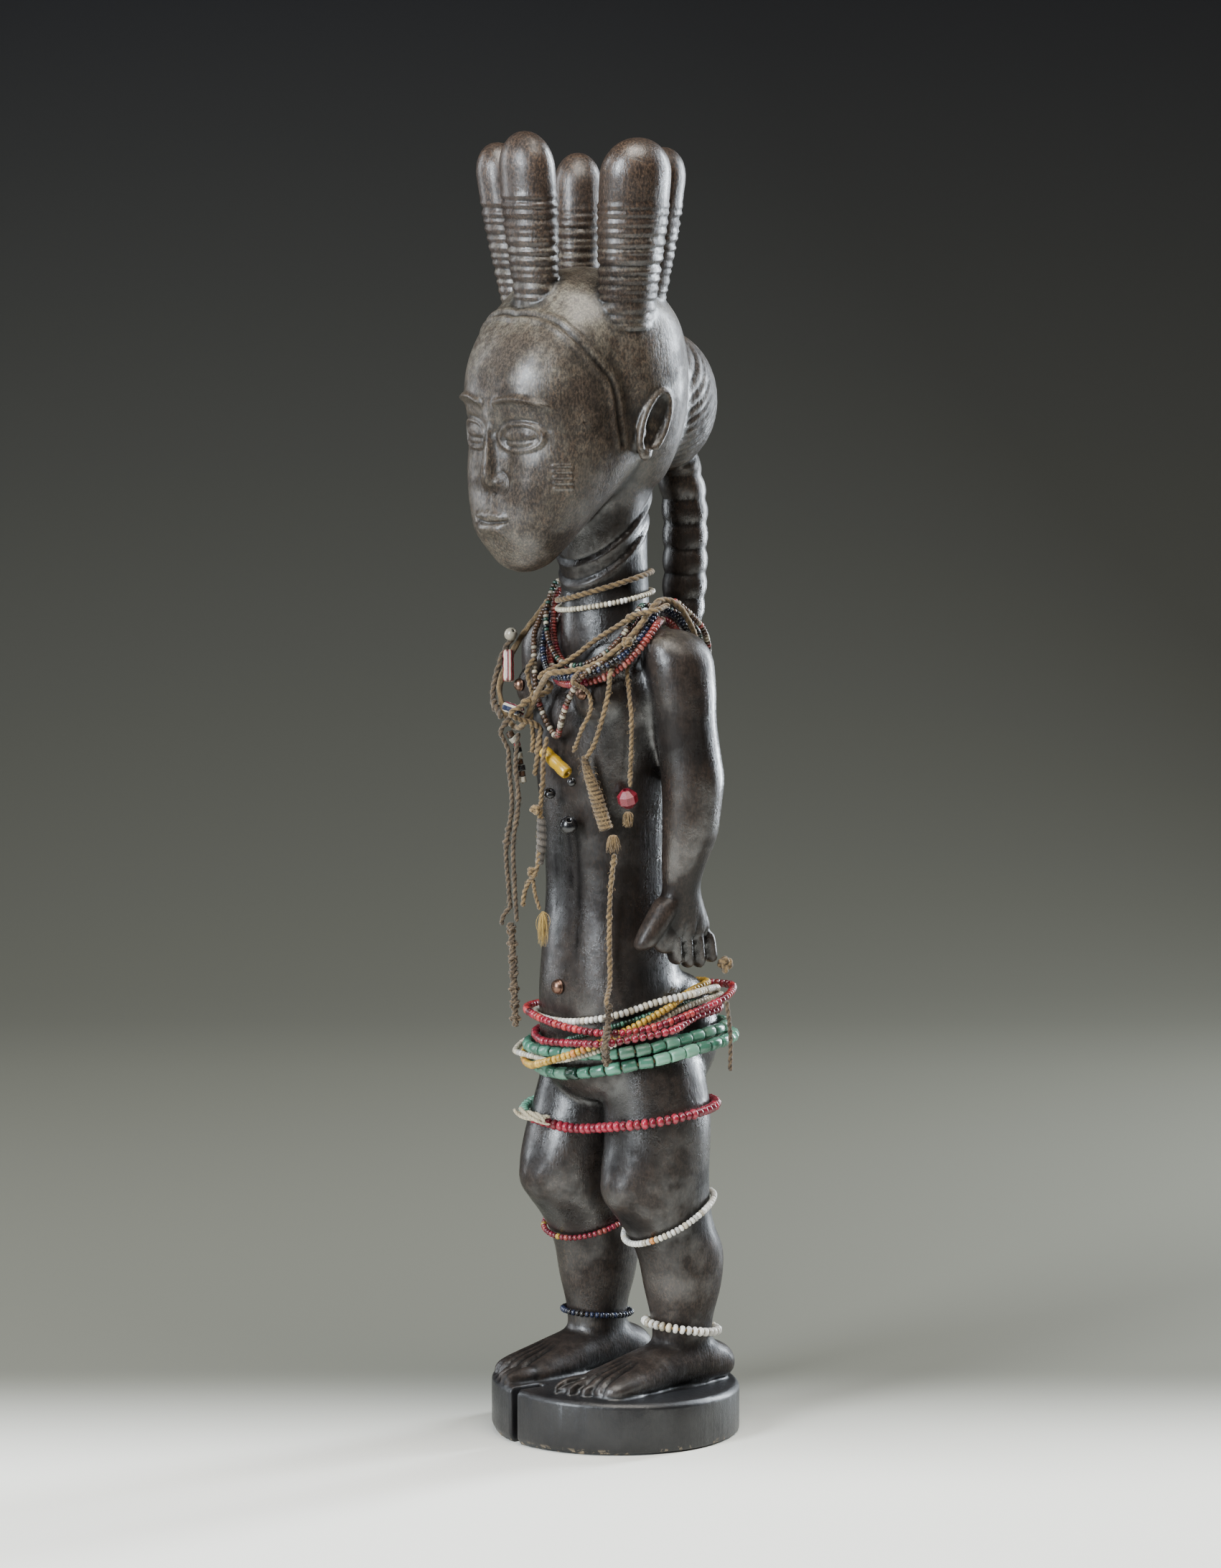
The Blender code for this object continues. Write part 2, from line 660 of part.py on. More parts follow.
def tube(name, points, diameter, closed, group, look, sides=0):
    """A plain tube along points: a poly curve with a round bevel."""
    curve = bpy.data.curves.new(name, "CURVE")
    curve.dimensions = "3D"
    curve.bevel_depth = diameter / 2
    curve.bevel_resolution = sides
    curve.use_fill_caps = not closed
    spline = curve.splines.new("POLY")
    spline.points.add(len(points) - 1)
    for point, place in zip(spline.points, points):
        point.co = (*place, 1.0)
    spline.use_cyclic_u = closed
    made = bpy.data.objects.new(name, curve)
    bpy.context.scene.collection.objects.link(made)
    return finish(made, name, group, look)


# Loops: zone, level (units, or degrees of rise for the shoulder zone), tilt (amount, toward),
# fold (amount, toward), bead size, points, colour and dips (amount, toward, width)
ZONES = {"throat": (0, -5, None), "shoulder": (0, -4, 272), "hip": (0, -0.5, None),
         "right_shin": (-18.5, 1.5, None), "left_shin": (19.5, 8, None),
         "right_ankle": (-20, 7, None), "left_ankle": (20, 14, None)}
INSIDE_ZONES = {"throat", "right_shin", "left_shin", "right_ankle", "left_ankle"}



def loop(name, zone, level, tilt, fold, bead, points, look, dips=(), swing=(0, 0, 30)):
    return {"name": name, "zone": zone, "level": level, "tilt": tilt, "fold": fold, "dips": dips,
            "bead": bead, "points": points, "look": look, "swing": swing}


def worn(dip, rise):
    """Dips of a neck strand: under the braid's end behind, and up over both shoulders."""
    return (dip, 92, 38), (-rise, 6, 32), (-rise, 178, 34)


LOOPS = [
    loop("neck_cord_twisted", "throat", 314.5, (5.3, 40), (0, 0), 0.0022, 16, "fibre"),
    loop("neck_strand_cream", "throat", 309.3, (3.2, 50), (0, 0), 0.0022, 16, "cream"),
    loop("neck_strand_red_upper", "shoulder", 38, (11, -90), (13, 15), 0.0026, 24, "red", worn(9, 13)),
    loop("neck_strand_red_lower", "shoulder", 28, (3, -90), (14, 28), 0.0031, 24, "red", worn(22, 12)),
    loop("neck_strand_blue", "shoulder", 30, (4, -90), (14, 25), 0.0026, 24, "blue", worn(19, 13)),
    loop("neck_strand_dark", "shoulder", 37.8, (10, -90), (14, 18), 0.0022, 24, "dark", worn(13, 14)),
    loop("neck_strand_mixed", "shoulder", 33, (6, -90), (13, 22), 0.0024, 24, "fibre",
         (*worn(17, 14), (50, -86, 24))),
    loop("neck_cord_outer", "shoulder", 30, (6, -90), (13, 15), 0.0024, 24, "fibre",
         (*worn(21, 13), (50, -120, 26)), (6, -122, 30)),
    loop("waist_strand_dark_green", "hip", 153, (9.5, 30), (0, 0), 0.0021, 22, "dark"),
    loop("waist_strand_green_upper", "hip", 147, (4.0, 50), (0.8, 60), 0.0044, 22, "green"),
    loop("waist_strand_green_lower", "hip", 141.5, (6.0, 55), (0.5, 30), 0.0046, 22, "green"),
    loop("waist_strand_white_fine", "hip", 150.5, (11, 45), (2, 30), 0.0023, 22, "cream"),
    loop("waist_strand_yellow", "hip", 152.5, (15, 48), (0, 0), 0.0030, 24, "yellow"),
    loop("waist_strand_white", "hip", 159, (5.6, 20), (2.2, 30), 0.0029, 22, "cream"),
    loop("waist_strand_red_upper", "hip", 158.5, (3.8, 80), (2.2, 60), 0.0031, 22, "red"),
    loop("waist_strand_red_lower", "hip", 152.5, (5.2, 50), (0.6, 40), 0.0031, 22, "red"),
    loop("thigh_strand_red", "hip", 120.2, (4.0, 70), (1.0, 10), 0.0040, 24, "red"),
    loop("right_knee_strand", "right_shin", 76, (5.0, 100), (0, 0), 0.0023, 14, "red"),
    loop("left_knee_strand", "left_shin", 81.5, (8.4, 75), (0, 0), 0.0026, 14, "cream"),
    loop("right_ankle_strand", "right_ankle", 40, (1.2, -95), (0, 0), 0.0024, 12, "dark"),
    loop("left_ankle_strand", "left_ankle", 40, (2.3, -100), (0, 0), 0.0036, 12, "cream"),
]


def lay_strands(tree, laid, group, looks):
    for spec in LOOPS:
        points = lay_loop(tree, laid, spec, spec["points"], GAP)
        remember(laid, points, spec["bead"] / 2)
        tube(spec["name"], points, spec["bead"], True, group, looks[spec["look"]])


# Pieces hanging on the carving: places in carving units, sizes in metres

CORDS = {
    "hanging_cord_left": (0.0019, [(22, -16, 294), (24, -21, 288), (27, -27.5, 274), (23.5, -29, 262),
                                   (19.5, -28.5, 255.5)]),
    "hanging_cord_bead": (0.0017, [(25.5, -14.5, 294), (28, -18, 286), (31.5, -19, 270), (29.5, -17.5, 256),
                                   (27.5, -16.5, 244.6)]),
    "hanging_cord_short": (0.0016, [(14.5, -25, 287), (19, -28, 281), (23, -31, 273), (21, -33.5, 266),
                                    (15, -32.5, 257)]),
    "hanging_cord_long": (0.0019, [(22.6, -19.5, 219.5), (21.4, -20.5, 205), (21.2, -20.8, 190),
                                   (22.4, -21.5, 176), (25, -24, 166)]),
    "chest_cord_outer": (0.0018, [(-16, -36, 268), (-17.2, -36.5, 251), (-15.4, -36.5, 235), (-18.8, -36.5, 219),
                                  (-18, -36, 204), (-17.2, -35.5, 190.5)]),
    "chest_cord_inner": (0.0018, [(-11, -37, 262), (-12.6, -37, 250), (-11, -37, 237), (-14, -37, 221),
                                  (-14, -36.5, 206), (-13.6, -35.8, 192)]),
    "chest_cord_side": (0.0022, [(-26, -20.5, 295), (-28, -25, 287), (-29, -29.5, 279.5), (-26, -33, 271.5),
                                 (-20.5, -37, 266.5)]),
    "chest_cord_cross": (0.0020, [(23, 1, 309.4), (26, -10, 307.4), (21, -16, 302.4), (14, -20, 297.4),
                                  (8, -24.5, 291.5), (2, -27, 285), (-1.6, -29, 279.2), (-4.4, -30, 272.6),
                                  (-6, -30.5, 264.4), (-6.8, -31, 255.4), (-9, -31, 246)]),
    "chest_cord_back": (0.0018, [(-9.6, -28, 289), (-10.6, -30, 280), (-11, -31, 270.6), (-9.4, -31.5, 261.6),
                                 (-8, -32, 254.6)]),
    "middle_cord_upper": (0.0018, [(5.5, -37, 262), (3.4, -37, 254), (2.4, -36.5, 246), (0.8, -36, 238.4)]),
    "middle_cord_branch": (0.0016, [(-6.4, -35.5, 208.4), (-9.2, -35.6, 203.5), (-10.4, -35.6, 198)]),
    "middle_cord_tail": (0.0015, [(-4.6, -35.4, 208.6), (-4.4, -34.6, 203), (-3.2, -33.4, 197.4)]),
}

# Thick wrapped or knotted stretches: diameter, then the places they run through
WRAPS = {
    "cord_bundle_left": (0.0055, [(18.6, -29.5, 252.2), (20.4, -26, 240), (22.2, -23, 228.6)]),
    "cord_bundle_waist": (0.0040, [(27, -26, 162.5), (27.2, -26.5, 152), (26.6, -26.8, 142.6)]),
    "chest_cord_knot": (0.0042, [(-16.4, -36, 187.4), (-15.6, -36, 178), (-15, -36, 167), (-14.2, -36, 153)]),
    "chest_bead_cluster": (0.0034, [(-16, -34, 262), (-15.4, -34, 256), (-13.6, -34, 250), (-12, -34, 243)]),
    "cloth_wrap": (0.0037, [(0.4, -35.6, 232), (0.0, -35.2, 223), (-1.4, -35, 214.5)]),
    "thigh_fibre_bow": (0.0040, [(-21, -20, 118.5), (-15, -24, 118), (-9, -26, 117.5)]),
    "waist_tie_strip": (0.0018, [(37, 22, 163), (38, 23, 150), (38, 23, 137)]),
}

# Round or oval pieces: place, half sizes across and up
LUMPS = {
    "shoulder_knot": ((23.4, -14.6, 297.8), 0.0021, 0.0022),
    "bundle_tuft": ((23.2, -20, 223.6), 0.0030, 0.0034),
    "red_pendant_bead": ((27, -17, 240), 0.0040, 0.0038),
    "red_bead_tuft": ((26.4, -16.6, 232.6), 0.0021, 0.0030),
    "black_bead_large": ((9.3, -30, 229.5), 0.0034, 0.0034),
    "black_bead_small": ((13.6, -31.5, 246), 0.0017, 0.0017),
    "black_ring_bead": ((1.4, -32.4, 240.6), 0.0022, 0.0016),
    "middle_knot": ((0.6, -36, 235.2), 0.0022, 0.0022),
    "middle_joint": ((-3.6, -35, 211.8), 0.0021, 0.0021),
    "yellow_tassel": ((-2.4, -32.6, 190), 0.0019, 0.0068),
    "cream_shoulder_bead": ((-27.5, -27, 296), 0.0024, 0.0026),
    "waist_tie_knot": ((31, 22, 176), 0.0030, 0.0036),
}

# Tube beads: diameter and the two ends of the axis
TUBE_BEADS = {
    "yellow_tube_bead": (0.0048, (-1.4, -33, 256), (10.6, -31.6, 248.6), "yellow"),
    "striped_tube_bead": (0.0040, (-21.5, -33, 291), (-19, -35, 280), "red"),
    "blue_tube_bead": (0.0038, (-15.6, -37, 271.4), (-7, -36.4, 270), "blue"),
}


def push_clear(tree, laid, points, radius, gap):
    """Moves a run of points outward, away from the body's axis, until its tube is clear."""
    points = [point.copy() for point in points]
    axis = Vector((0, at(0, 4, 0).y, 0))
    for _ in range(80):
        moved = False
        for step, point in enumerate(points):
            spots = [point]
            if step + 1 < len(points):
                spots += [point.lerp(points[step + 1], share / 8) for share in range(1, 8)]
            need = 0.0
            for spot in spots:
                need = max(need, radius + gap - clearance(tree, spot, radius + gap))
                for other, other_radius in laid:
                    close = other.find_range(spot, radius + other_radius + gap)
                    if close:
                        need = max(need, radius + other_radius + gap - min(item[2] for item in close))
            if need > 1e-6:
                outward = point - axis
                outward.z = 0.0
                outward.normalize()
                move = outward * (need + 0.00002)
                points[step] = point + move
                if step + 1 < len(points):
                    points[step + 1] = points[step + 1] + move
                moved = True
        if not moved:
            break
    return points


def lump(name, place, across, up, group, look, sides=6, rings=5):
    mesh = bpy.data.meshes.new(name)
    ball = bmesh.new()
    bmesh.ops.create_uvsphere(ball, u_segments=sides, v_segments=rings, radius=1.0)
    for vertex in ball.verts:
        vertex.co = Vector((vertex.co.x * across, vertex.co.y * across, vertex.co.z * up))
    ball.to_mesh(mesh)
    ball.free()
    made = bpy.data.objects.new(name, mesh)
    made.location = place
    bpy.context.scene.collection.objects.link(made)
    return finish(made, name, group, look)


def tube_bead(name, start, end, diameter, group, look):
    length = (end - start).length
    bpy.ops.mesh.primitive_cylinder_add(vertices=12, radius=diameter / 2, depth=length,
                                        location=(start + end) / 2)
    made = bpy.context.object
    made.rotation_mode = "QUATERNION"
    made.rotation_quaternion = (end - start).to_track_quat("Z", "Y")
    return finish(made, name, group, look)


def tack(name, tree, laid, place, ray, diameter, group, look):
    """A domed tack seated on the skin where the ray meets it, its back just clear of the wood."""
    hit = tree.ray_cast(place - ray * 0.1, ray)
    outward = (-ray + hit[1]).normalized()
    turn = outward.to_track_quat("Z", "Y")
    shell = bmesh.new()
    bmesh.ops.create_uvsphere(shell, u_segments=10, v_segments=6, radius=diameter / 2)
    for vertex in shell.verts:
        vertex.co.z *= 2 * TACK_RISE if vertex.co.z > 0 else TACK_BACK
    lift = GAP
    while min(clearance(tree, hit[0] + outward * lift + turn @ vertex.co, GAP)
              for vertex in shell.verts) < GAP * 0.9 and lift < diameter:
        lift += 0.0001
    mesh = bpy.data.meshes.new(name)
    shell.to_mesh(mesh)
    shell.free()
    made = bpy.data.objects.new(name, mesh)
    made.rotation_mode = "QUATERNION"
    made.rotation_quaternion = turn
    made.location = hit[0] + outward * lift
    bpy.context.scene.collection.objects.link(made)
    finish(made, name, group, look)
    remember(laid, [made.location, made.location + outward * 0.0002], diameter / 2, closed=False)


def hang_pieces(tree, laid, group, looks):
    """Pendants, wraps, knots and free cords, in the order in which they lie on each other."""
    for name, (diameter, start, end, look) in TUBE_BEADS.items():
        ends = push_clear(tree, laid, [at(*start), at(*end)], diameter / 2, GAP)
        tube_bead(name, *ends, diameter, group, looks[look])
        remember(laid, ends, diameter / 2, closed=False)
    for name, (diameter, places) in WRAPS.items():
        points = push_clear(tree, laid, [at(*place) for place in places], diameter / 2, GAP)
        tube(name, points, diameter, False, group, looks["dark" if "bead" in name else "fibre"], 1)
        remember(laid, points, diameter / 2, closed=False)
    for name, (place, across, up) in LUMPS.items():
        spot = push_clear(tree, laid, [at(*place)], max(across, up), GAP)[0]
        colour = next((key for key in ("black", "red", "cream", "yellow") if name.startswith(key)), "fibre")
        if "tuft" in name or "tassel" in name:
            colour = "fibre"
        lump(name, spot, across, up, group, looks["dark" if colour == "black" else colour])
        remember(laid, [spot - Vector((0, 0, up * 0.5)), spot + Vector((0, 0, up * 0.5))],
                 max(across, up * 0.6), closed=False)
    for name, (diameter, places) in CORDS.items():
        points = push_clear(tree, laid, [at(*place) for place in places], diameter / 2, GAP)
        tube(name, points, diameter, False, group, looks["fibre"])
        remember(laid, points, diameter / 2, closed=False)


def set_tacks(tree, laid, group, looks):
    for side, name in ((1, "left_breast_tack"), (-1, "right_breast_tack")):
        ray = Vector((-side * 0.12, 1.0, 0.0)).normalized()
        tack(name, tree, laid, at(side * (BREAST[0] + 1.2), BREAST[1] - 12, BREAST[2] + 1.5), ray,
             BREAST_TACK_DIAMETER, group, looks["metal"])
    tack("navel_tack", tree, laid, at(-1.2, -26, NAVEL_LEVEL), Vector((0, 1, 0)), NAVEL_TACK_DIAMETER,
         group, looks["metal"])


def main():
    clear_scene()
    group = new_collection(NAME)
    looks = {
        "wood": material("dark_wood", (0.035, 0.024, 0.018), 0.38),
        "metal": material("copper_tack", (0.42, 0.22, 0.12), 0.35, 1.0),
        "fibre": material("plant_fibre", (0.19, 0.13, 0.07), 0.85),
        "red": material("red_glass_bead", (0.32, 0.02, 0.03), 0.25),
        "cream": material("cream_glass_bead", (0.66, 0.62, 0.50), 0.35),
        "green": material("green_glass_bead", (0.08, 0.27, 0.17), 0.30),
        "yellow": material("yellow_glass_bead", (0.55, 0.33, 0.05), 0.35),
        "blue": material("blue_glass_bead", (0.02, 0.03, 0.09), 0.25),
        "dark": material("dark_glass_bead", (0.02, 0.03, 0.03), 0.25),
    }
    figure = finish(carve_figure(), "figure", group, looks["wood"])
    tree = body_tree(figure)
    laid = []
    set_tacks(tree, laid, group, looks)
    lay_strands(tree, laid, group, looks)
    hang_pieces(tree, laid, group, looks)


main()
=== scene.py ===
"""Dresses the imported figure: the fine carved wood, every glass bead on its thread, the twisted fibre
cords with their knots, wrappings and tufts, the metal tacks, and the studio they stand in.

Lengths are metres. The carving's tables are in units of a millimetre, as in the part's source. The
figure faces -Y, its own left is +X, and the middle of the base's underside is the origin.
"""
import json
import math
from contextlib import contextmanager

import bmesh
import bpy
import numpy as np
from mathutils import Matrix, Vector
from mathutils.bvhtree import BVHTree
from mathutils.kdtree import KDTree


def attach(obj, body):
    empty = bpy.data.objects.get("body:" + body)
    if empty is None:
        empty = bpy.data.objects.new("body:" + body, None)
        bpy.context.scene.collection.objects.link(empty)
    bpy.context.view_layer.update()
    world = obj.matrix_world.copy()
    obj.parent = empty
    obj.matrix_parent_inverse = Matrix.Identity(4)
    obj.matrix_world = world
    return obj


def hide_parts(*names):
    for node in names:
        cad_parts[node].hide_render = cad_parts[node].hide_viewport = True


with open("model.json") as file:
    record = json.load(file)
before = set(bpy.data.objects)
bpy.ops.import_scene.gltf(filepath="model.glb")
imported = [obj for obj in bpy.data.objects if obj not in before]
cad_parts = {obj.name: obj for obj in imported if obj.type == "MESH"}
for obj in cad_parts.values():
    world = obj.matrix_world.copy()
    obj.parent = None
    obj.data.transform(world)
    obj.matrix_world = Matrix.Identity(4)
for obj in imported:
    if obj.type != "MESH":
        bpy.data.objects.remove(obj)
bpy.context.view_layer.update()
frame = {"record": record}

# Sizes shared with the part's source
BASE_DIAMETER = 0.092
BASE_HEIGHT = 0.0195
BASE_EDGE = 0.0016
BASE_SLOPE = 0.0016
SPLIT_WIDTH = 0.0040
SPLIT_DEPTH = 0.0150
SPLIT_OFFSET = -0.0037
UNIT = 0.001
SOLE_LEVEL = 19.5
GAP = 0.0003
BREAST_TACK_DIAMETER = 0.0048
NAVEL_TACK_DIAMETER = 0.0057

# Fineness of the carving's skin
SOFT_VOXEL = 0.0012
SOFT_PASSES = 15
SKIN_VOXEL = 0.00076
SKIN_TRIANGLES = 192000

# The photograph's viewpoint
VIEW_TURN = math.radians(50)
VIEW_PITCH = math.radians(7.48)
VIEW_DISTANCE = 2.2
VIEW_HEIGHT = 0.53
PHOTO_HEIGHT = 2184
FOCAL_PIXELS = 8429
AXIS_OFFSET_PIXELS = 7.2
SENSOR = 36.0
SWEEP_FLAT = 0.9
SWEEP_CURVE = 0.7
SWEEP_HALF_WIDTH = 5


def at(x, y, z):
    """A place given in carving units, as metres above the floor."""
    return Vector((x * UNIT, y * UNIT, BASE_HEIGHT + (z - SOLE_LEVEL) * UNIT))


# Camera, light and floor

def make_camera():
    data = bpy.data.cameras.new("camera")
    data.sensor_width = SENSOR
    data.lens = SENSOR * FOCAL_PIXELS / PHOTO_HEIGHT
    data.clip_start = 0.05
    data.clip_end = 60.0
    camera = bpy.data.objects.new("camera", data)
    bpy.context.scene.collection.objects.link(camera)
    camera.location = (math.sin(VIEW_TURN) * VIEW_DISTANCE, -math.cos(VIEW_TURN) * VIEW_DISTANCE, VIEW_HEIGHT)
    heading = VIEW_TURN + AXIS_OFFSET_PIXELS / FOCAL_PIXELS
    camera.rotation_euler = (math.radians(90) - VIEW_PITCH, 0.0, heading)
    bpy.context.scene.camera = camera


def softbox(name, azimuth, distance, height, aim, wide, tall, power, colour):
    """A soft rectangular light standing round the figure, azimuth 0 at the camera's side."""
    data = bpy.data.lights.new(name, "AREA")
    data.shape = "RECTANGLE"
    data.size = wide
    data.size_y = tall
    data.energy = power
    data.color = colour
    lamp = bpy.data.objects.new(name, data)
    bpy.context.scene.collection.objects.link(lamp)
    turn = VIEW_TURN + math.radians(azimuth)
    lamp.location = (math.sin(turn) * distance, -math.cos(turn) * distance, height)
    toward = Vector((0.0, 0.0, aim)) - lamp.location
    lamp.rotation_mode = "QUATERNION"
    lamp.rotation_quaternion = toward.to_track_quat("-Z", "Y")


def make_sweep(look):
    """The floor, rising behind the figure in one curve to a plain backdrop."""
    profile = [(-4.0, 0.0), (-0.7, 0.0), (-0.25, 0.0), (0.0, 0.0)]
    profile += [(SWEEP_FLAT * step / 6, 0.0) for step in range(1, 7)]
    for step in range(1, 17):
        turn = math.radians(90 * step / 16)
        profile.append((SWEEP_FLAT + SWEEP_CURVE * math.sin(turn), SWEEP_CURVE * (1 - math.cos(turn))))
    profile.append((SWEEP_FLAT + SWEEP_CURVE, 4.0))
    back = Vector((-math.sin(VIEW_TURN), math.cos(VIEW_TURN), 0.0))
    side = Vector((math.cos(VIEW_TURN), math.sin(VIEW_TURN), 0.0))
    points, faces = [], []
    for away, level in profile:
        middle = back * away + Vector((0, 0, level))
        points += [middle - side * SWEEP_HALF_WIDTH, middle + side * SWEEP_HALF_WIDTH]
    for row in range(len(profile) - 1):
        faces.append((2 * row, 2 * row + 1, 2 * row + 3, 2 * row + 2))
    sweep = mesh_from("floor", points, faces, False)
    set_field(sweep.data, "away", [away + level for away, level in profile for _ in range(2)])
    sweep.data.materials.append(look)
    sweep.data.shade_smooth()


def make_studio(look):
    softbox("key_box", -44, 1.3, 0.74, 0.25, 0.36, 0.9, 44.0, (0.86, 0.93, 1.0))
    softbox("right_box", 126, 1.0, 0.46, 0.24, 0.16, 0.9, 30.0, (0.84, 0.92, 1.0))
    softbox("left_box", -112, 1.0, 0.50, 0.24, 0.22, 0.9, 6.0, (0.88, 0.94, 1.0))
    softbox("top_box", 20, 0.5, 1.45, 0.05, 0.9, 0.9, 28.0, (1.0, 0.96, 0.89))
    make_sweep(look)
    world = bpy.data.worlds.new("studio")
    world.use_nodes = True
    world.node_tree.nodes["Background"].inputs["Color"].default_value = (0.62, 0.66, 0.70, 1.0)
    world.node_tree.nodes["Background"].inputs["Strength"].default_value = 0.07
    bpy.context.scene.world = world


# Forms of the carving, as in the part's source but finer

def smooth_values(stations, share):
    """Values along a list of stations at a share 0..1 of its length, through a cubic curve."""
    table = np.array(stations, dtype=float)
    steps = np.linalg.norm(np.diff(table[:, :3], axis=0), axis=1)
    marks = np.concatenate([[0.0], np.cumsum(steps)])
    slopes = np.gradient(table, marks, axis=0)
    place = np.clip(share, 0.0, 1.0) * marks[-1]
    low = np.clip(np.searchsorted(marks, place, side="right") - 1, 0, len(marks) - 2)
    span = marks[low + 1] - marks[low]
    t = ((place - marks[low]) / span)[:, None]
    span = span[:, None]
    first, second = table[low], table[low + 1]
    return ((2 * t**3 - 3 * t**2 + 1) * first + (t**3 - 2 * t**2 + t) * span * slopes[low]
            + (3 * t**2 - 2 * t**3) * second + (t**3 - t**2) * span * slopes[low + 1]), marks[-1]


def new_object(name, mesh):
    made = bpy.data.objects.new(name, mesh)
    bpy.context.scene.collection.objects.link(made)
    return made


def mesh_from(name, points, faces, outward=True):
    """A mesh object from arrays of places and faces, its faces turned outward."""
    mesh = bpy.data.meshes.new(name)
    mesh.from_pydata([tuple(p) for p in points], [], [tuple(int(i) for i in f) for f in faces])
    if outward:
        face_outward(mesh)
    return new_object(name, mesh)


def finished(name, points, faces, look):
    """A mesh object with its material and smooth shading."""
    made = mesh_from(name, points, faces)
    return with_look(made, look)


def with_look(made, look):
    made.data.materials.append(look)
    made.data.shade_smooth()
    return made


@contextmanager
def opened(mesh):
    """A mesh open for editing, written back afterwards."""
    shell = bmesh.new()
    shell.from_mesh(mesh)
    yield shell
    shell.to_mesh(mesh)
    shell.free()


def face_outward(mesh):
    with opened(mesh) as shell:
        bmesh.ops.recalc_face_normals(shell, faces=shell.faces)


def swept_form(name, stations, cap=0.0, power=2.0, along="z", sides=64, rings=80):
    """A closed form through stations (x, y, z, half width, half depth), from a UV sphere."""
    mesh = bpy.data.meshes.new(name)
    ball = bmesh.new()
    bmesh.ops.create_uvsphere(ball, u_segments=sides, v_segments=rings, radius=1.0)
    ball.to_mesh(mesh)
    ball.free()
    points = np.empty(len(mesh.vertices) * 3)
    mesh.vertices.foreach_get("co", points)
    points = points.reshape(-1, 3)
    share = (1.0 - points[:, 2]) / 2.0
    values, length = smooth_values(stations, share)
    turn = np.arctan2(points[:, 1], points[:, 0])
    off_pole = np.where(np.hypot(points[:, 0], points[:, 1]) < 1e-5, 0.0, 1.0)
    if cap > 0:
        from_end = np.minimum(share, 1.0 - share) * length
        inside = np.clip(1.0 - from_end / cap, 0.0, 1.0)
        off_pole = off_pole * np.sqrt(np.maximum(1.0 - inside**2, 0.0))
    across = np.sign(np.cos(turn)) * np.abs(np.cos(turn))**(2.0 / power) * values[:, 3] * off_pole
    deep = np.sign(np.sin(turn)) * np.abs(np.sin(turn))**(2.0 / power) * values[:, 4] * off_pole
    x, y, z = values[:, 0] + across, values[:, 1].copy(), values[:, 2].copy()
    if along == "z":
        y += deep
    else:
        z += deep
    places = np.stack([x * UNIT, y * UNIT, BASE_HEIGHT + (z - SOLE_LEVEL) * UNIT], axis=1)
    mesh.vertices.foreach_set("co", places.ravel())
    face_outward(mesh)
    return new_object(name, mesh)


def ball_form(name, centre, radii, sides=40, rings=28):
    """An ellipsoid in carving units."""
    mesh = bpy.data.meshes.new(name)
    ball = bmesh.new()
    bmesh.ops.create_uvsphere(ball, u_segments=sides, v_segments=rings, radius=1.0)
    for vertex in ball.verts:
        vertex.co = at(centre[0] + vertex.co.x * radii[0], centre[1] + vertex.co.y * radii[1],
                       centre[2] + vertex.co.z * radii[2])
    ball.to_mesh(mesh)
    ball.free()
    return new_object(name, mesh)


def rod_form(name, path, radius, sides=12):
    """A round rod through places in carving units, with rounded ends."""
    stations = [(*place, radius, radius) for place in path]
    marks, _ = smooth_values(stations, np.linspace(0, 1, max(8, 6 * len(path))))
    points, faces = tube_shell(np.array([at(*mark[:3]) for mark in marks]), lambda s, a: radius * UNIT, sides)
    return mesh_from(name, points, faces)


def mirrored(stations, side, shift=0.0, still_above=None):
    """The same stations on the figure's left (side 1) or right (side -1), moved along y.
    The move fades out over 30 units below the level still_above."""
    made = []
    for x, y, z, wide, deep in stations:
        fade = 1.0 if still_above is None else min(1.0, max(0.0, (still_above - z) / 30))
        made.append((x * side, y + shift * fade, z, wide, deep))
    return made


def ring_faces(rings, sides, joined_ends=False):
    """Faces between rings of points, capped at both ends or joined end to end."""
    faces = []
    for ring in range(rings if joined_ends else rings - 1):
        here, there = ring * sides, ((ring + 1) % rings) * sides
        for side in range(sides):
            after = (side + 1) % sides
            faces.append((here + side, here + after, there + after, there + side))
    if not joined_ends:
        faces.append(tuple(reversed(range(sides))))
        faces.append(tuple(range((rings - 1) * sides, rings * sides)))
    return faces


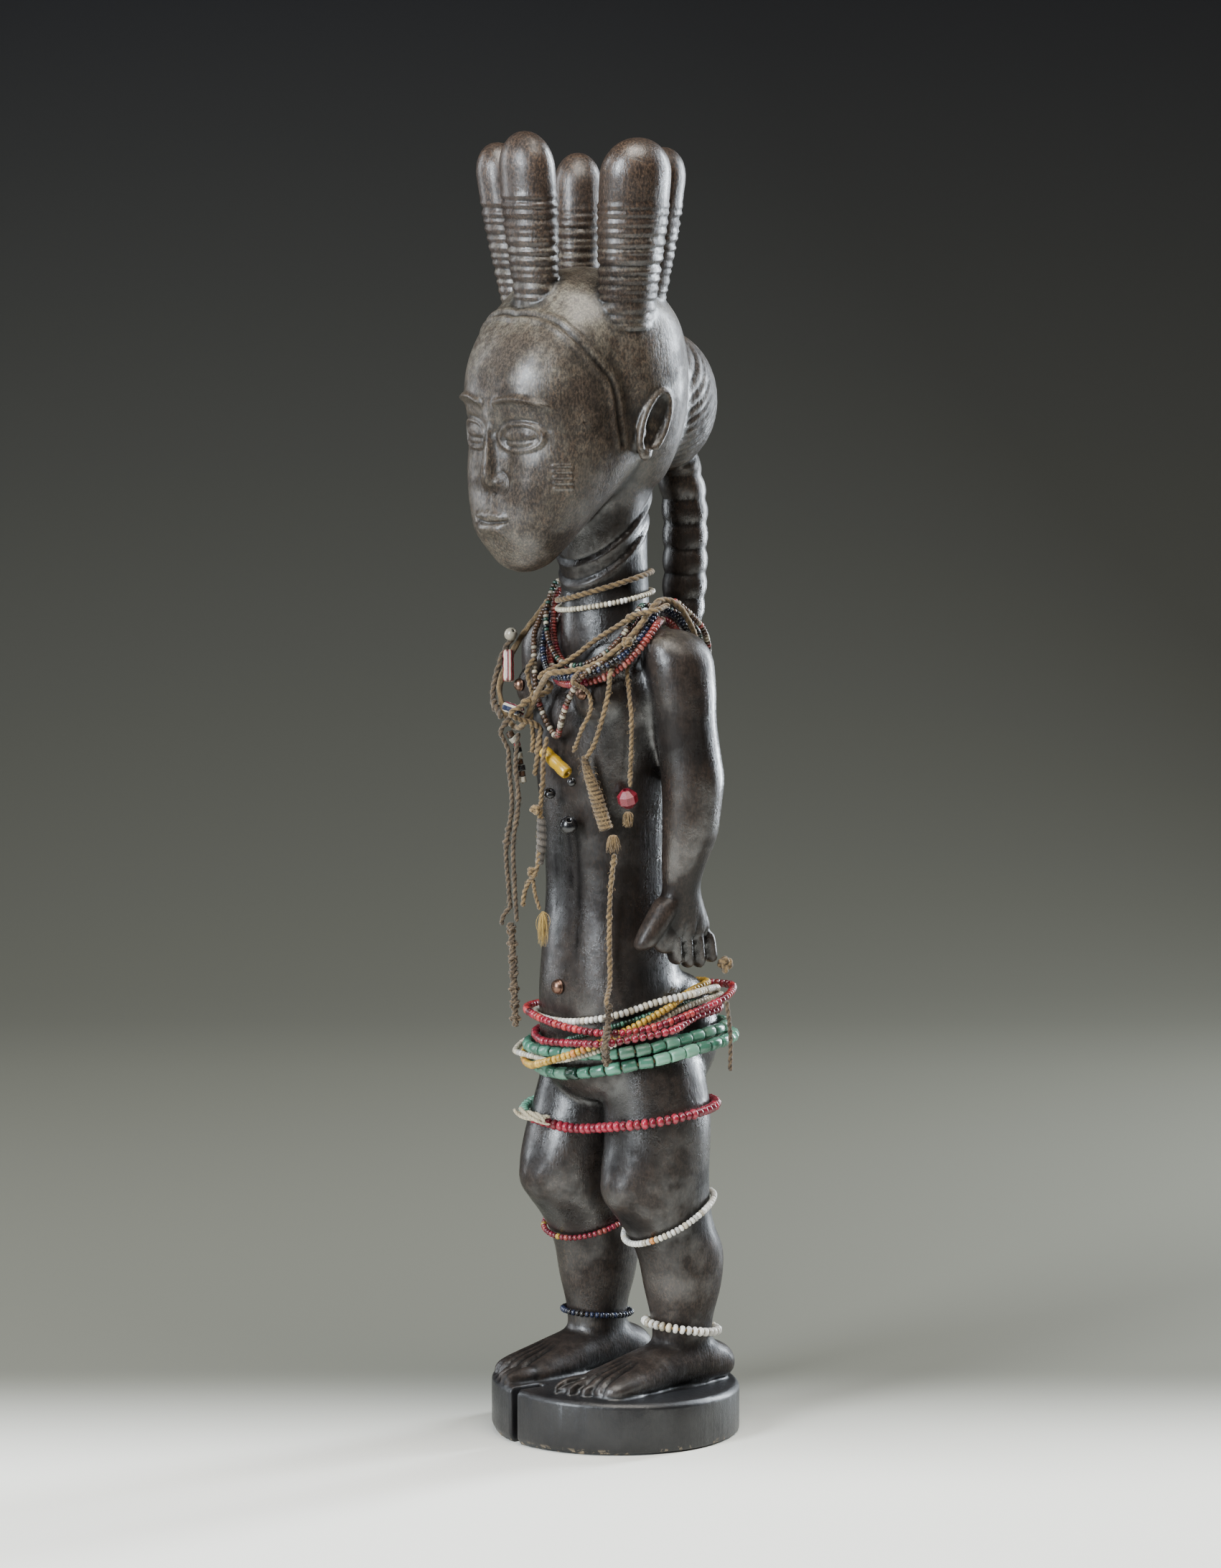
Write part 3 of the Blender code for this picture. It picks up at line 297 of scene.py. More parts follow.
def tube_shell(path, radius_at, sides, closed=False):
    """Points and faces of a tube along a path. radius_at(share, angle) may twist with the path."""
    path = np.asarray(path, dtype=float)
    count = len(path)
    if closed:
        tangents = np.roll(path, -1, axis=0) - np.roll(path, 1, axis=0)
    else:
        tangents = np.gradient(path, axis=0)
    tangents /= np.linalg.norm(tangents, axis=1)[:, None] + 1e-12
    normal = np.cross(tangents[0], (0.31, 0.22, 0.92))
    normal /= np.linalg.norm(normal)
    normals = []
    for tangent in tangents:
        normal = normal - tangent * np.dot(normal, tangent)
        normal /= np.linalg.norm(normal)
        normals.append(normal)
    normals = np.array(normals)
    if closed:
        last = normals[-1] - tangents[0] * np.dot(normals[-1], tangents[0])
        last /= np.linalg.norm(last)
        drift = math.atan2(np.dot(np.cross(last, normals[0]), tangents[0]), np.dot(last, normals[0]))
    else:
        drift = 0.0
    lengths = np.concatenate([[0.0], np.cumsum(np.linalg.norm(np.diff(path, axis=0), axis=1))])
    sideways = np.cross(tangents, normals)
    angles = np.arange(sides) * 2 * math.pi / sides
    shares = lengths / lengths[-1]
    points = []
    for ring in range(count):
        near = min(ring, count - 1 - ring)
        end = 1.0 if closed or near > 1 else (0.55, 0.9)[near]
        for angle in angles:
            turn = angle + drift * ring / count
            out = normals[ring] * math.cos(turn) + sideways[ring] * math.sin(turn)
            points.append(path[ring] + out * radius_at(shares[ring], angle) * end)
    return points, ring_faces(count, sides, closed)


# Station tables: x, y, z, half width, half depth
TORSO = [(0, 2, 124, 17, 15), (0, 2, 132, 25.5, 22), (0, 1.5, 143, 29, 24.5), (0, -0.3, 154, 28, 24.2),
         (0, -2.6, 166, 25.5, 23.4), (0, -3, 182, 23.8, 22.4), (0, -3, 202, 22.5, 21),
         (0, -4, 222, 22.5, 21), (0, -5, 242, 24.5, 22), (0, -5.5, 258, 27, 22.5),
         (0, -5, 272, 30.5, 22), (0, -3, 284, 31.5, 19), (0, -2.5, 292, 28, 15),
         (0, -3.5, 299, 17, 12)]
LEG = [(20, 15.5, 17, 10, 12), (20, 15.5, 32, 9.6, 11.6), (20, 15.3, 42, 10, 12),
       (20, 15.5, 54, 12.6, 14.8), (19.6, 14.5, 68, 14.3, 16.8), (19, 8.5, 80, 15, 18),
       (19, 4.5, 88, 16, 20.5), (19, 3, 97, 17, 21.2), (19, 4, 109, 17.8, 20.2),
       (18.4, 4.6, 122, 17.8, 20), (17.4, 3.6, 136, 16.6, 19.4),
       (14.5, 1.5, 152, 14, 18)]
FOOT = [(20.5, 38, 24, 7, 5.5), (20.4, 30, 25.5, 10, 7.5), (20, 16, 27, 11.5, 9.5),
        (20, 2, 25.5, 12, 8.5), (20, -12, 23.5, 13, 6.8), (20, -24, 22, 13, 5), (20, -31, 21, 11.5, 3.6)]
ARM = [(30.5, -1, 301, 7, 9), (34, 0, 294, 11, 12.4), (36, 1, 282, 11.5, 12.8),
       (36.8, 2, 268, 10.8, 11.6), (37.4, 4, 254, 10.7, 11.6), (37.8, 4.8, 247, 11.0, 11.8),
       (37.4, 4.8, 238, 10.3, 11.2), (36.3, 4.8, 226, 9.4, 10.6), (33.6, 4, 213.5, 7.5, 8.3),
       (32.4, 4, 207, 6.4, 7.4), (31.5, 5, 200, 5.6, 9.5), (30.5, 7, 192, 5.0, 11.8),
       (30, 9, 186, 4.6, 11.4)]
NECK = [(0, -5, 284, 19, 16), (0, -5, 298, 16.6, 16.2), (0, -5, 312, 16, 16),
        (0, -6.5, 328, 16.4, 16.6), (0, -8, 345, 18.4, 18.6), (0, -8.5, 358, 23, 21)]
FACE = [(0, -44, 321.5, 7, 5), (0, -43, 327, 13, 9), (0, -42, 335, 19.5, 15), (0, -38, 345, 24.8, 20.5),
        (0, -32.5, 355, 28.3, 26.5), (0, -27, 365, 30.8, 32), (0, -24, 380, 32, 36.2),
        (0, -23, 395, 32, 36.2), (0, -20.5, 408, 30.3, 32), (0, -17.5, 418, 26.5, 25.5),
        (0, -16, 427, 17, 17)]
HAIR = [(0, -2, 348, 18, 13), (0, -4, 360, 26, 21), (0, -7, 375, 32.5, 28),
        (0, -9.5, 390, 34.8, 32), (0, -12, 404, 34.2, 33.5), (0, -13.5, 415, 31, 30.5),
        (0, -15, 424, 23.5, 23.5), (0, -16, 431, 11, 11)]
BRAID = [(0, 28, 362, 8.6, 8.6), (0, 32.5, 346, 8.4, 8.4), (0, 33.4, 326, 8.2, 8.2),
         (0, 32.6, 306, 8.0, 8.0), (0, 29.5, 291, 7.8, 7.8), (0, 27, 281, 6.8, 6.8)]
HAIRLINE = [(0, -48, 415.2), (6, -46.7, 415.1), (17.5, -44, 412.7), (24.5, -41.5, 408.1),
            (28.8, -37.7, 402.2), (30.9, -33.2, 396.5), (31.7, -29.2, 391.8), (32.1, -26.8, 384.6),
            (32.2, -25.5, 377.3), (31, -23.2, 368.4)]
THUMB = [(31.2, 1.5, 204, 5.2, 6.4), (31, -4.5, 196.5, 5.0, 5.8), (30.2, -9.5, 189.5, 4.6, 5.0),
         (29.4, -12.5, 184, 3.6, 3.8)]
BREAST = (16.5, -19, 277)
BREAST_HALF = (10.5, 12, 10.5)
NAVEL_LEVEL = 168.5
LOCKS = {
    "front": ((0, -36, 406), (0, -42.5, 480), (11.0, 9.4)),
    "left": ((24, -16, 402), (36, -20, 478), (11.6, 13.6)),
    "right": ((-26, -20, 404), (-36, -26, 475), (9.4, 9.6)),
    "back_left": ((15, -1, 406), (24, 2, 474), (9.6, 9.6)),
    "back_right": ((-17, -3, 406), (-24, 2, 471), (8.6, 8.8)),
}
LOCK_RIDGES = 16
LOCK_RIDGE_DEPTH = 2.0
LOCK_RINGED_SHARE = 0.71
BRAID_RINGS = 9
BRAID_RING_DEPTH = 1.1
RIGHT_LEG_SHIFT = -7.5
RIGHT_ARM_SHIFT = 6.0
HIP_LEVEL = 136
SHOULDER_LEVEL = 272
TOES = 5
SIDES = ((1, 0.0, 0.0), (-1, RIGHT_LEG_SHIFT, RIGHT_ARM_SHIFT))
EYE_PLACE = (13.2, 371.5)
EYE_HALF = (8.3, 4.5)
BROW_LEVEL = 385.5
MOUTH_LEVEL = 341.0
NOSE_LEVEL = 352.0
CHEEK_LEVEL = 364
SCAR_BLOCKS = ((2.5, 362, 2.4, 5), (11.5, 362, 2.4, 5), (20.5, 380, 3.0, 3))
COMB_PITCH = 2.8
NECK_RINGS = (341, 333)
NECK_RING_SLOPE = 0.83
# Dark runs down the belly: x, top, bottom, half width
DRIPS = ((7.8, 228, 182, 1.05), (3.7, 226, 202, 0.55), (1.7, 216, 191, 0.5), (-5.2, 224, 196, 0.45))


def toes(side, shift):
    """Five toes in a slanted row, the big one inside."""
    made = []
    for number in range(TOES):
        share = number / (TOES - 1)
        radius = 3.9 - 1.3 * share
        x = side * (11.2 + 18.5 * share)
        y = -28.5 + 9.0 * share**1.3 + shift
        made.append(ball_form("toe", (x, y, SOLE_LEVEL + 2.4 - 0.5 * share),
                              (radius * 0.80, radius * 2.6, radius), 20, 14))
    return made


def fingers(side, shift):
    """Four fingers laid down on the hip and the thumb in front of them."""
    made = []
    for number in range(4):
        share = number / 3
        knuckle = (side * 30.2, 1.2 + 5.4 * number + shift, 191 - 0.6 * number)
        tip = (side * (30 + 0.3 * number), 4.0 + 5.2 * number + shift, 174.5 + abs(number - 1.6) * 1.6)
        thick = 2.7 - 0.2 * share
        stations = [(*knuckle, 4.2, thick), (*tip, 3.6, thick * 0.9)]
        made.append(swept_form("finger", stations, 3.0, 2.0, "z", 20, 20))
    thumb = [(side * x, y + shift, *rest) for x, y, *rest in THUMB]
    made.append(swept_form("thumb", thumb, 3.4, 2.0, "z", 20, 24))
    made.append(ball_form("palm", (side * 30.6, -1.5 + shift, 190), (3.4, 8, 8), 24, 18))
    return made


def lock_swell(share):
    """Share of the full half width along a lock, root to tip."""
    body = 0.70 + 0.30 * np.sin(np.minimum(share / 0.8, 1.0) * math.pi / 2)**1.5
    tip = np.sqrt(np.maximum(0.0, 1 - np.maximum(0.0, (share - 0.82) / 0.18)**2))
    return body * tip


def ringed_form(name, centres, wide, deep, sides=48):
    """A stack of rings along centres, closed at both ends."""
    points = []
    for centre, a, b in zip(centres, wide, deep):
        for side in range(sides):
            turn = 2 * math.pi * side / sides
            points.append(at(centre[0] + a * math.cos(turn), centre[1] + b * math.sin(turn), centre[2]))
    return mesh_from(name, points, ring_faces(len(centres), sides))


def lock(name, root, tip, half, seed):
    """One horn-like lock: ringed below, a smooth swelling bulb above."""
    root, tip = np.array(root, float), np.array(tip, float)
    share = np.linspace(0, 1, 260)
    centres = root + (tip - root) * share[:, None]
    swell = lock_swell(share)
    wobble = 0.10 * np.sin(share * 37 + seed) + 0.10 * np.sin(share * 61 + 2 * seed)
    waves = np.abs(np.sin(math.pi * (share / LOCK_RINGED_SHARE * LOCK_RIDGES + wobble)))
    fade = np.clip((LOCK_RINGED_SHARE - share) / 0.03, 0, 1)
    ridge = LOCK_RIDGE_DEPTH * (waves**0.55 - 0.72) * fade
    return ringed_form(name, centres, np.maximum(half[0] * swell + ridge, 0.05),
                       np.maximum(half[1] * swell + ridge, 0.05))


def braid():
    """The hanging braid: bulging rings with a crease between each two."""
    share = np.linspace(0, 1, 170)
    values, _ = smooth_values(BRAID, share)
    ridge = BRAID_RING_DEPTH * (np.abs(np.sin(math.pi * share * BRAID_RINGS))**0.6 - 0.75)
    tip = np.sqrt(np.clip((1 - share) / 0.035, 0, 1))
    wide = (values[:, 3] + ridge) * np.maximum(tip, 0.02)
    deep = (values[:, 4] + ridge) * np.maximum(tip, 0.02)
    return ringed_form("braid", values[:, :3], wide, deep)


def ear(side):
    """A generic ear: an oval rim leaning back, a small tragus and a lobe."""
    path = []
    for step in range(15):
        turn = math.radians(-38 + 300 * step / 14) - 0.4
        rise = 11.2 * math.sin(turn)
        lean = 0.30 * rise
        path.append((side * (33.9 + 0.5 * math.sin(turn)), -10 - 5.8 * math.cos(turn) + lean, 376 + rise))
    made = [rod_form("ear_rim", path, 1.35)]
    for level in (-6, 0, 6):
        made.append(ball_form("ear_body", (side * 31.0, -10 + 0.30 * level, 376 + level), (2.1, 5.6, 5.6)))
    made.append(ball_form("tragus", (side * 33.0, -15.4, 373.0), (1.7, 1.8, 2.8), 20, 14))
    made.append(ball_form("lobe", (side * 32.6, -13.4, 365.4), (2.0, 2.8, 3.0), 20, 14))
    return made


def generic_face():
    """The face's raised forms in the carving tradition: nose ridge and wings, and the ears."""
    nose = [(0, -57.2, 384, 1.9, 2.2), (0, -58.2, 374, 2.1, 2.7), (0, -58.9, 364, 2.7, 3.1),
            (0, -59.2, 357, 3.5, 3.5), (0, -57.6, 352.5, 3.6, 3.0)]
    made = [swept_form("nose", nose, 2.2, 2.0, "z", 28, 32)]
    for side in (-1, 1):
        made.append(ball_form("nostril_wing", (side * 3.9, -57.2, 355.4), (2.5, 3.0, 2.6), 24, 18))
        made += ear(side)
    return made


def soft_forms():
    """The forms that flow into each other: trunk, limbs, neck and head."""
    made = [swept_form("torso", TORSO, 3, 2.6), swept_form("neck", NECK),
            swept_form("face", FACE, 4, 2.35), swept_form("hair", HAIR, 6, 2.1)]
    for side, shift, arm_shift in SIDES:
        made.append(swept_form("leg", mirrored(LEG, side, shift, HIP_LEVEL), 2, 2.15))
        made.append(swept_form("foot", mirrored(FOOT, side, shift * 0.75), 6, 2.2, "y"))
        made.append(ball_form("kneecap", (side * 19, -7 + shift, 95), (12.2, 13, 11.6)))
        made.append(ball_form("buttock", (side * 14, 17, 149), (15.5, 16.5, 23)))
        made.append(ball_form("breast", (side * BREAST[0], *BREAST[1:]), BREAST_HALF))
        made.append(ball_form("shoulder_slope", (side * 17, -2, 294), (13, 11, 9)))
        made.append(swept_form("arm", mirrored(ARM, side, arm_shift, SHOULDER_LEVEL), 4, 2.1))
    made.append(ball_form("shoulder_blades", (0, 7, 274), (25, 13.5, 20)))
    made.append(ball_form("chignon", (0, 19.5, 381), (21, 23.5, 26.5)))
    return made


def crisp_forms():
    """The forms that keep their own edges: nose, ears, hands, toes, locks and braid."""
    made = generic_face()
    for side, shift, arm_shift in SIDES:
        made += toes(side, shift * 0.75)
        made += fingers(side, arm_shift)
    for number, (name, (root, tip, half)) in enumerate(LOCKS.items()):
        made.append(lock("lock_" + name, root, tip, half, number * 1.7))
    made.append(braid())
    return made


def base_form():
    """The round base, a little higher under the right foot, its edges softened and its split cut."""
    sides, steps = 160, 12
    radius = BASE_DIAMETER / 2
    rows = [(radius - BASE_EDGE, 0.0)]
    for step in range(steps + 1):
        rows.append((radius, BASE_EDGE + (BASE_HEIGHT - 2 * BASE_EDGE) * step / steps))
    rows.append((radius - BASE_EDGE, BASE_HEIGHT))
    points = []
    for reach_out, level in rows:
        for side in range(sides):
            turn = 2 * math.pi * side / sides
            x, y = reach_out * math.cos(turn), reach_out * math.sin(turn)
            lean = BASE_SLOPE * (-0.64 * x - 0.77 * y) / radius if level > 0 else 0.0
            points.append((x, y, level + lean))
    made = mesh_from("base", points, ring_faces(len(rows), sides))
    bpy.ops.mesh.primitive_cube_add(size=1.0, location=(SPLIT_OFFSET, -radius, BASE_HEIGHT / 2))
    cutter = bpy.context.object
    cutter.data.transform(Matrix.Diagonal((SPLIT_WIDTH, 2 * SPLIT_DEPTH, BASE_HEIGHT * 1.6, 1.0)))
    cut = made.modifiers.new("Split", "BOOLEAN")
    cut.operation = "DIFFERENCE"
    cut.solver = "EXACT"
    cut.object = cutter
    with_modifiers(made)
    bpy.data.objects.remove(cutter, do_unlink=True)
    return made


def joined(objects, name):
    """One object holding all the given meshes."""
    shell = bmesh.new()
    for thing in objects:
        shell.from_mesh(thing.data)
        bpy.data.objects.remove(thing, do_unlink=True)
    mesh = bpy.data.meshes.new(name)
    shell.to_mesh(mesh)
    shell.free()
    return new_object(name, mesh)


def with_modifiers(thing):
    """The object's mesh as its modifiers leave it, the modifiers removed."""
    view = bpy.context.evaluated_depsgraph_get()
    view.update()
    mesh = bpy.data.meshes.new_from_object(thing.evaluated_get(view))
    thing.modifiers.clear()
    thing.data = mesh
    return thing


def remeshed(thing, voxel, smoothing):
    skin = thing.modifiers.new("Skin", "REMESH")
    skin.mode = "VOXEL"
    skin.voxel_size = voxel
    if smoothing:
        soften = thing.modifiers.new("Soften", "SMOOTH")
        soften.factor = 0.5
        soften.iterations = smoothing
    return with_modifiers(thing)


def outer_shell(thing):
    """Keeps the largest shell, dropping any pocket that the remesh sealed inside."""
    mesh = thing.data
    count = len(mesh.vertices)
    edges = np.empty(len(mesh.edges) * 2, dtype=np.int64)
    mesh.edges.foreach_get("vertices", edges)
    edges = edges.reshape(-1, 2)
    mark = np.arange(count)
    while True:
        low = np.minimum(mark[edges[:, 0]], mark[edges[:, 1]])
        before = mark.copy()
        np.minimum.at(mark, edges[:, 0], low)
        np.minimum.at(mark, edges[:, 1], low)
        mark = mark[mark]
        if np.array_equal(before, mark):
            break
    names, sizes = np.unique(mark, return_counts=True)
    keep = names[np.argmax(sizes)]
    if len(names) > 1:
        with opened(mesh) as shell:
            loose = [vertex for vertex, name in zip(shell.verts, mark) if name != keep]
            bmesh.ops.delete(shell, geom=loose, context="VERTS")


def mesh_arrays(mesh):
    """Places and normals of a mesh's vertices."""
    points = np.empty(len(mesh.vertices) * 3)
    mesh.vertices.foreach_get("co", points)
    normals = np.empty(len(mesh.vertices) * 3)
    mesh.vertex_normals.foreach_get("vector", normals)
    return points.reshape(-1, 3), normals.reshape(-1, 3)


def to_units(points):
    """Metres back to carving units."""
    units = points / UNIT
    units[:, 2] += SOLE_LEVEL - BASE_HEIGHT / UNIT
    return units


def step_up(value, low, high):
    """0 below low, 1 above high, smooth between; low may be the larger."""
    share = np.clip((value - low) / (high - low), 0.0, 1.0)
    return share * share * (3 - 2 * share)


def hill(across, up):
    """A round hill, 1 in the middle, by the distances from it as shares of its half widths."""
    return np.exp(-(across**2 + up**2))


def groove(distance, width):
    """Depth share of a rounded groove at a distance from its line."""
    return np.exp(-(distance / width)**2)


def eye_relief(x, z, front):
    """A lowered, almond eye of calm expression: lids as raised rims, the ball between them."""
    u = (np.abs(x) - EYE_PLACE[0]) / EYE_HALF[0]
    tilt = EYE_PLACE[1] + 0.6 * u
    v = (z - tilt) / EYE_HALF[1]
    edge = np.hypot(u * np.abs(u)**0.35, v)
    socket = -2.3 * hill(u / 1.35, (z - EYE_PLACE[1] - 1.0) / 8.2)
    bulge = 1.55 * step_up(edge, 1.05, 0.35)
    rim = 0.95 * groove(edge - 1.05, 0.16)
    slit = -0.7 * groove(v + 0.30 - 0.25 * u**2, 0.16) * step_up(np.abs(u), 0.92, 0.7)
    crease = -0.38 * groove(edge - 1.42, 0.16) * step_up(z, tilt + 1.0, tilt + 2.5)
    return (socket + bulge + rim + slit + crease) * front


def brow_relief(x, z, front):
    """An arched brow ridge over each eye, running into the nose."""
    across = np.abs(x)
    arch = BROW_LEVEL + 6.0 * np.cos((across - 13) / 11.5) - 6.0
    strength = step_up(across, 2.0, 5.0) * step_up(across, 26, 21)
    return (1.45 * groove(z - arch, 1.7) + 0.70 * groove(z - arch, 0.7)) * strength * front


def mouth_relief(x, z, front):
    """Closed lips, a little pushed forward, and the dip above the chin."""
    swell = 2.0 * hill(x / 9.5, (z - MOUTH_LEVEL) / 6.0)
    bow = 0.7 * np.exp(-((np.abs(x) - 2.6) / 2.6)**2)
    upper = 0.95 * groove(z - MOUTH_LEVEL - 2.0 - bow, 1.35) * step_up(np.abs(x), 9.0, 5.5)
    lower = 1.05 * groove(z - MOUTH_LEVEL + 2.4, 1.5) * step_up(np.abs(x), 8.0, 4.5)
    line = -1.15 * groove(z - MOUTH_LEVEL + 0.25 - 0.012 * x**2, 0.55) * step_up(np.abs(x), 9.6, 8.2)
    dip = -0.8 * hill(x / 6.0, (z - MOUTH_LEVEL + 7.0) / 2.4)
    lip_groove = -0.35 * np.exp(-(x / 1.1)**2) * step_up(z, MOUTH_LEVEL + 3.6, MOUTH_LEVEL + 5)
    lip_groove *= step_up(z, NOSE_LEVEL + 0.5, NOSE_LEVEL - 2)
    return (swell + upper + lower + line + dip + lip_groove) * front


def nose_relief(x, z, front):
    """Cheeks set back beside the nose, and the folds round its wings."""
    flank = -1.6 * hill((np.abs(x) - 8.0) / 5.0, (z - CHEEK_LEVEL) / 13.0)
    wing = -0.55 * groove(np.hypot((np.abs(x) - 4.2) / 1.0, z - NOSE_LEVEL - 2.6) - 4.6, 0.7)
    wing *= step_up(np.abs(x), 4.5, 6.0) * step_up(z, NOSE_LEVEL - 3, NOSE_LEVEL)
    nostril = -0.9 * hill((np.abs(x) - 2.6) / 1.2, (z - NOSE_LEVEL + 0.9) / 0.9)
    return (flank + wing + nostril) * front


def scar_relief(x, y, z, normal_x):
    """Raised blocks of short bars: a pair on each cheek and one at each temple."""
    total = np.zeros(len(x))
    facing = step_up(np.abs(normal_x), 0.25, 0.5)
    for middle, level, wide, rows in SCAR_BLOCKS:
        along = np.hypot(np.abs(x) - 15, y + 50) * np.sign(-(y + 50 - (np.abs(x) - 15)))
        inside = step_up(np.abs(along - middle), wide + 0.6, wide - 0.2)
        for row in range(rows):
            total += 0.42 * groove(z - level + 2.05 * row, 0.55) * inside
    return total * facing


def hairline_relief(tree, points):
    """The double raised band of the hairline: two ridges with a fine groove between them."""
    line = []
    for side in (-1, 1):
        route = smooth_open([at(side * x, y, z) for x, y, z in HAIRLINE], 0.0003)
        line += [tree.find_nearest(Vector(place))[0] for place in route]
    near = KDTree(len(line))
    for number, place in enumerate(line):
        near.insert(place, number)
    near.balance()
    total = np.zeros(len(points))
    x, y, z = to_units(points.copy()).T
    for number in np.nonzero((y < -14) & (z > 362) & (z < 424))[0]:
        away = near.find(points[number])[2] / UNIT
        if away < 5:
            total[number] = 0.85 * groove(away - 1.75, 1.15) - 0.45 * groove(away, 0.7)
    return total


def toe_relief(x, y, z, normal_z):
    """Grooves that part the toes and fan back over the forefoot."""
    total = np.zeros(len(x))
    for side, shift, _ in SIDES:
        back = y - 0.75 * shift
        near = step_up(back, -7, -15) * step_up(z, 19.8, 21.5) * step_up(z, 33, 29) * step_up(side * x, 5, 7)
        spread = 1.0 - 0.022 * (back + 30)
        for crease in range(TOES - 1):
            line = 20.4 + (11.2 + 18.5 * (crease + 0.5) / (TOES - 1) - 20.4) * spread
            total -= 1.25 * groove(side * x - line, 0.75) * near
    return total * step_up(normal_z, 0.0, 0.3)


def hair_relief(x, y, z):
    """Combed grooves running down and back over the chignon."""
    back = step_up(y, 12, 20) * step_up(z, 352, 360) * step_up(z, 408, 400)
    slant = np.abs(x) * 0.75 + (z - 380) * 0.62 - (y - 20) * 0.35
    comb = 0.5 - 0.5 * np.cos(2 * math.pi * slant / COMB_PITCH)
    combed = -0.62 * comb**2 * back
    return combed


def neck_relief(x, y, z):
    """Carved rings round the throat, slanting down to the front."""
    total = np.zeros(len(x))
    near = step_up(np.abs(x), 24, 19) * step_up(y, 18, 12) * step_up(y, -27, -22)
    for level in NECK_RINGS:
        line = level + NECK_RING_SLOPE * y
        total += (0.75 * groove(z - line, 1.3) - 0.65 * groove(z - line - 2.3, 0.7)) * near
    return total


def hand_relief(x, y, z):
    """Creases between the fingers."""
    total = np.zeros(len(x))
    for side, _, arm_shift in SIDES:
        near = step_up(side * x, 23, 26) * step_up(z, 172, 175) * step_up(z, 196, 192)
        for crease in range(3):
            total -= 0.55 * groove(y - arm_shift - 5.4 * crease - 4.2, 0.6) * near
    return total


def spine_relief(x, y, z):
    """The furrow down the back."""
    return -1.5 * np.exp(-(x / 3.4)**2) * step_up(y, 6, 12) * step_up(z, 150, 175) * step_up(z, 288, 268)


def relief(tree, points, normals):
    """How far each vertex of the skin moves along its normal, in carving units."""
    x, y, z = to_units(points.copy()).T
    front = step_up(-normals[:, 1], 0.15, 0.45) * step_up(z, 320, 324) * step_up(y, -36, -42)
    total = eye_relief(x, z, front) + brow_relief(x, z, front) + mouth_relief(x, z, front)
    total += nose_relief(x, z, front)
    on_head = step_up(z, 340, 344) * step_up(z, 392, 388) * step_up(y, -16, -20)
    total += scar_relief(x, y, z, normals[:, 0]) * on_head
    total += hair_relief(x, y, z) + neck_relief(x, y, z) + hand_relief(x, y, z) + spine_relief(x, y, z)
    total += toe_relief(x, y, z, normals[:, 2]) + hairline_relief(tree, points)
    return total


def refine(thing, inside):
    """Splits each face whose middle passes the test into four, for finer relief there."""
    with opened(thing.data) as shell:
        chosen = [face for face in shell.faces if inside(face.calc_center_median())]
        edges = {edge for face in chosen for edge in face.edges}
        bmesh.ops.subdivide_edges(shell, edges=list(edges), cuts=1, use_grid_fill=True)
        bmesh.ops.triangulate(shell, faces=shell.faces)


def smooth_field(mesh, values, passes):
    """A value on each vertex averaged with its neighbours a number of times."""
    edges = np.empty(len(mesh.edges) * 2, dtype=np.int64)
    mesh.edges.foreach_get("vertices", edges)
    first, second = edges.reshape(-1, 2).T
    share = np.bincount(np.concatenate([first, second]), minlength=len(values)).astype(float)
    share = np.maximum(share, 1.0)
    for _ in range(passes):
        total = np.bincount(first, weights=values[second], minlength=len(values))
        total += np.bincount(second, weights=values[first], minlength=len(values))
        values = 0.5 * values + 0.5 * total / share
    return values


def curvature(mesh):
    """How far each vertex stands out of its neighbourhood, in metres: ridges above, hollows below."""
    points, normals = mesh_arrays(mesh)
    away = points - np.stack([smooth_field(mesh, points[:, axis], 8) for axis in range(3)], axis=1)
    return (away * normals).sum(axis=1)


def set_field(mesh, name, values):
    field = mesh.attributes.new(name, "FLOAT", "POINT")
    field.data.foreach_set("value", np.ascontiguousarray(values, dtype=np.float32))


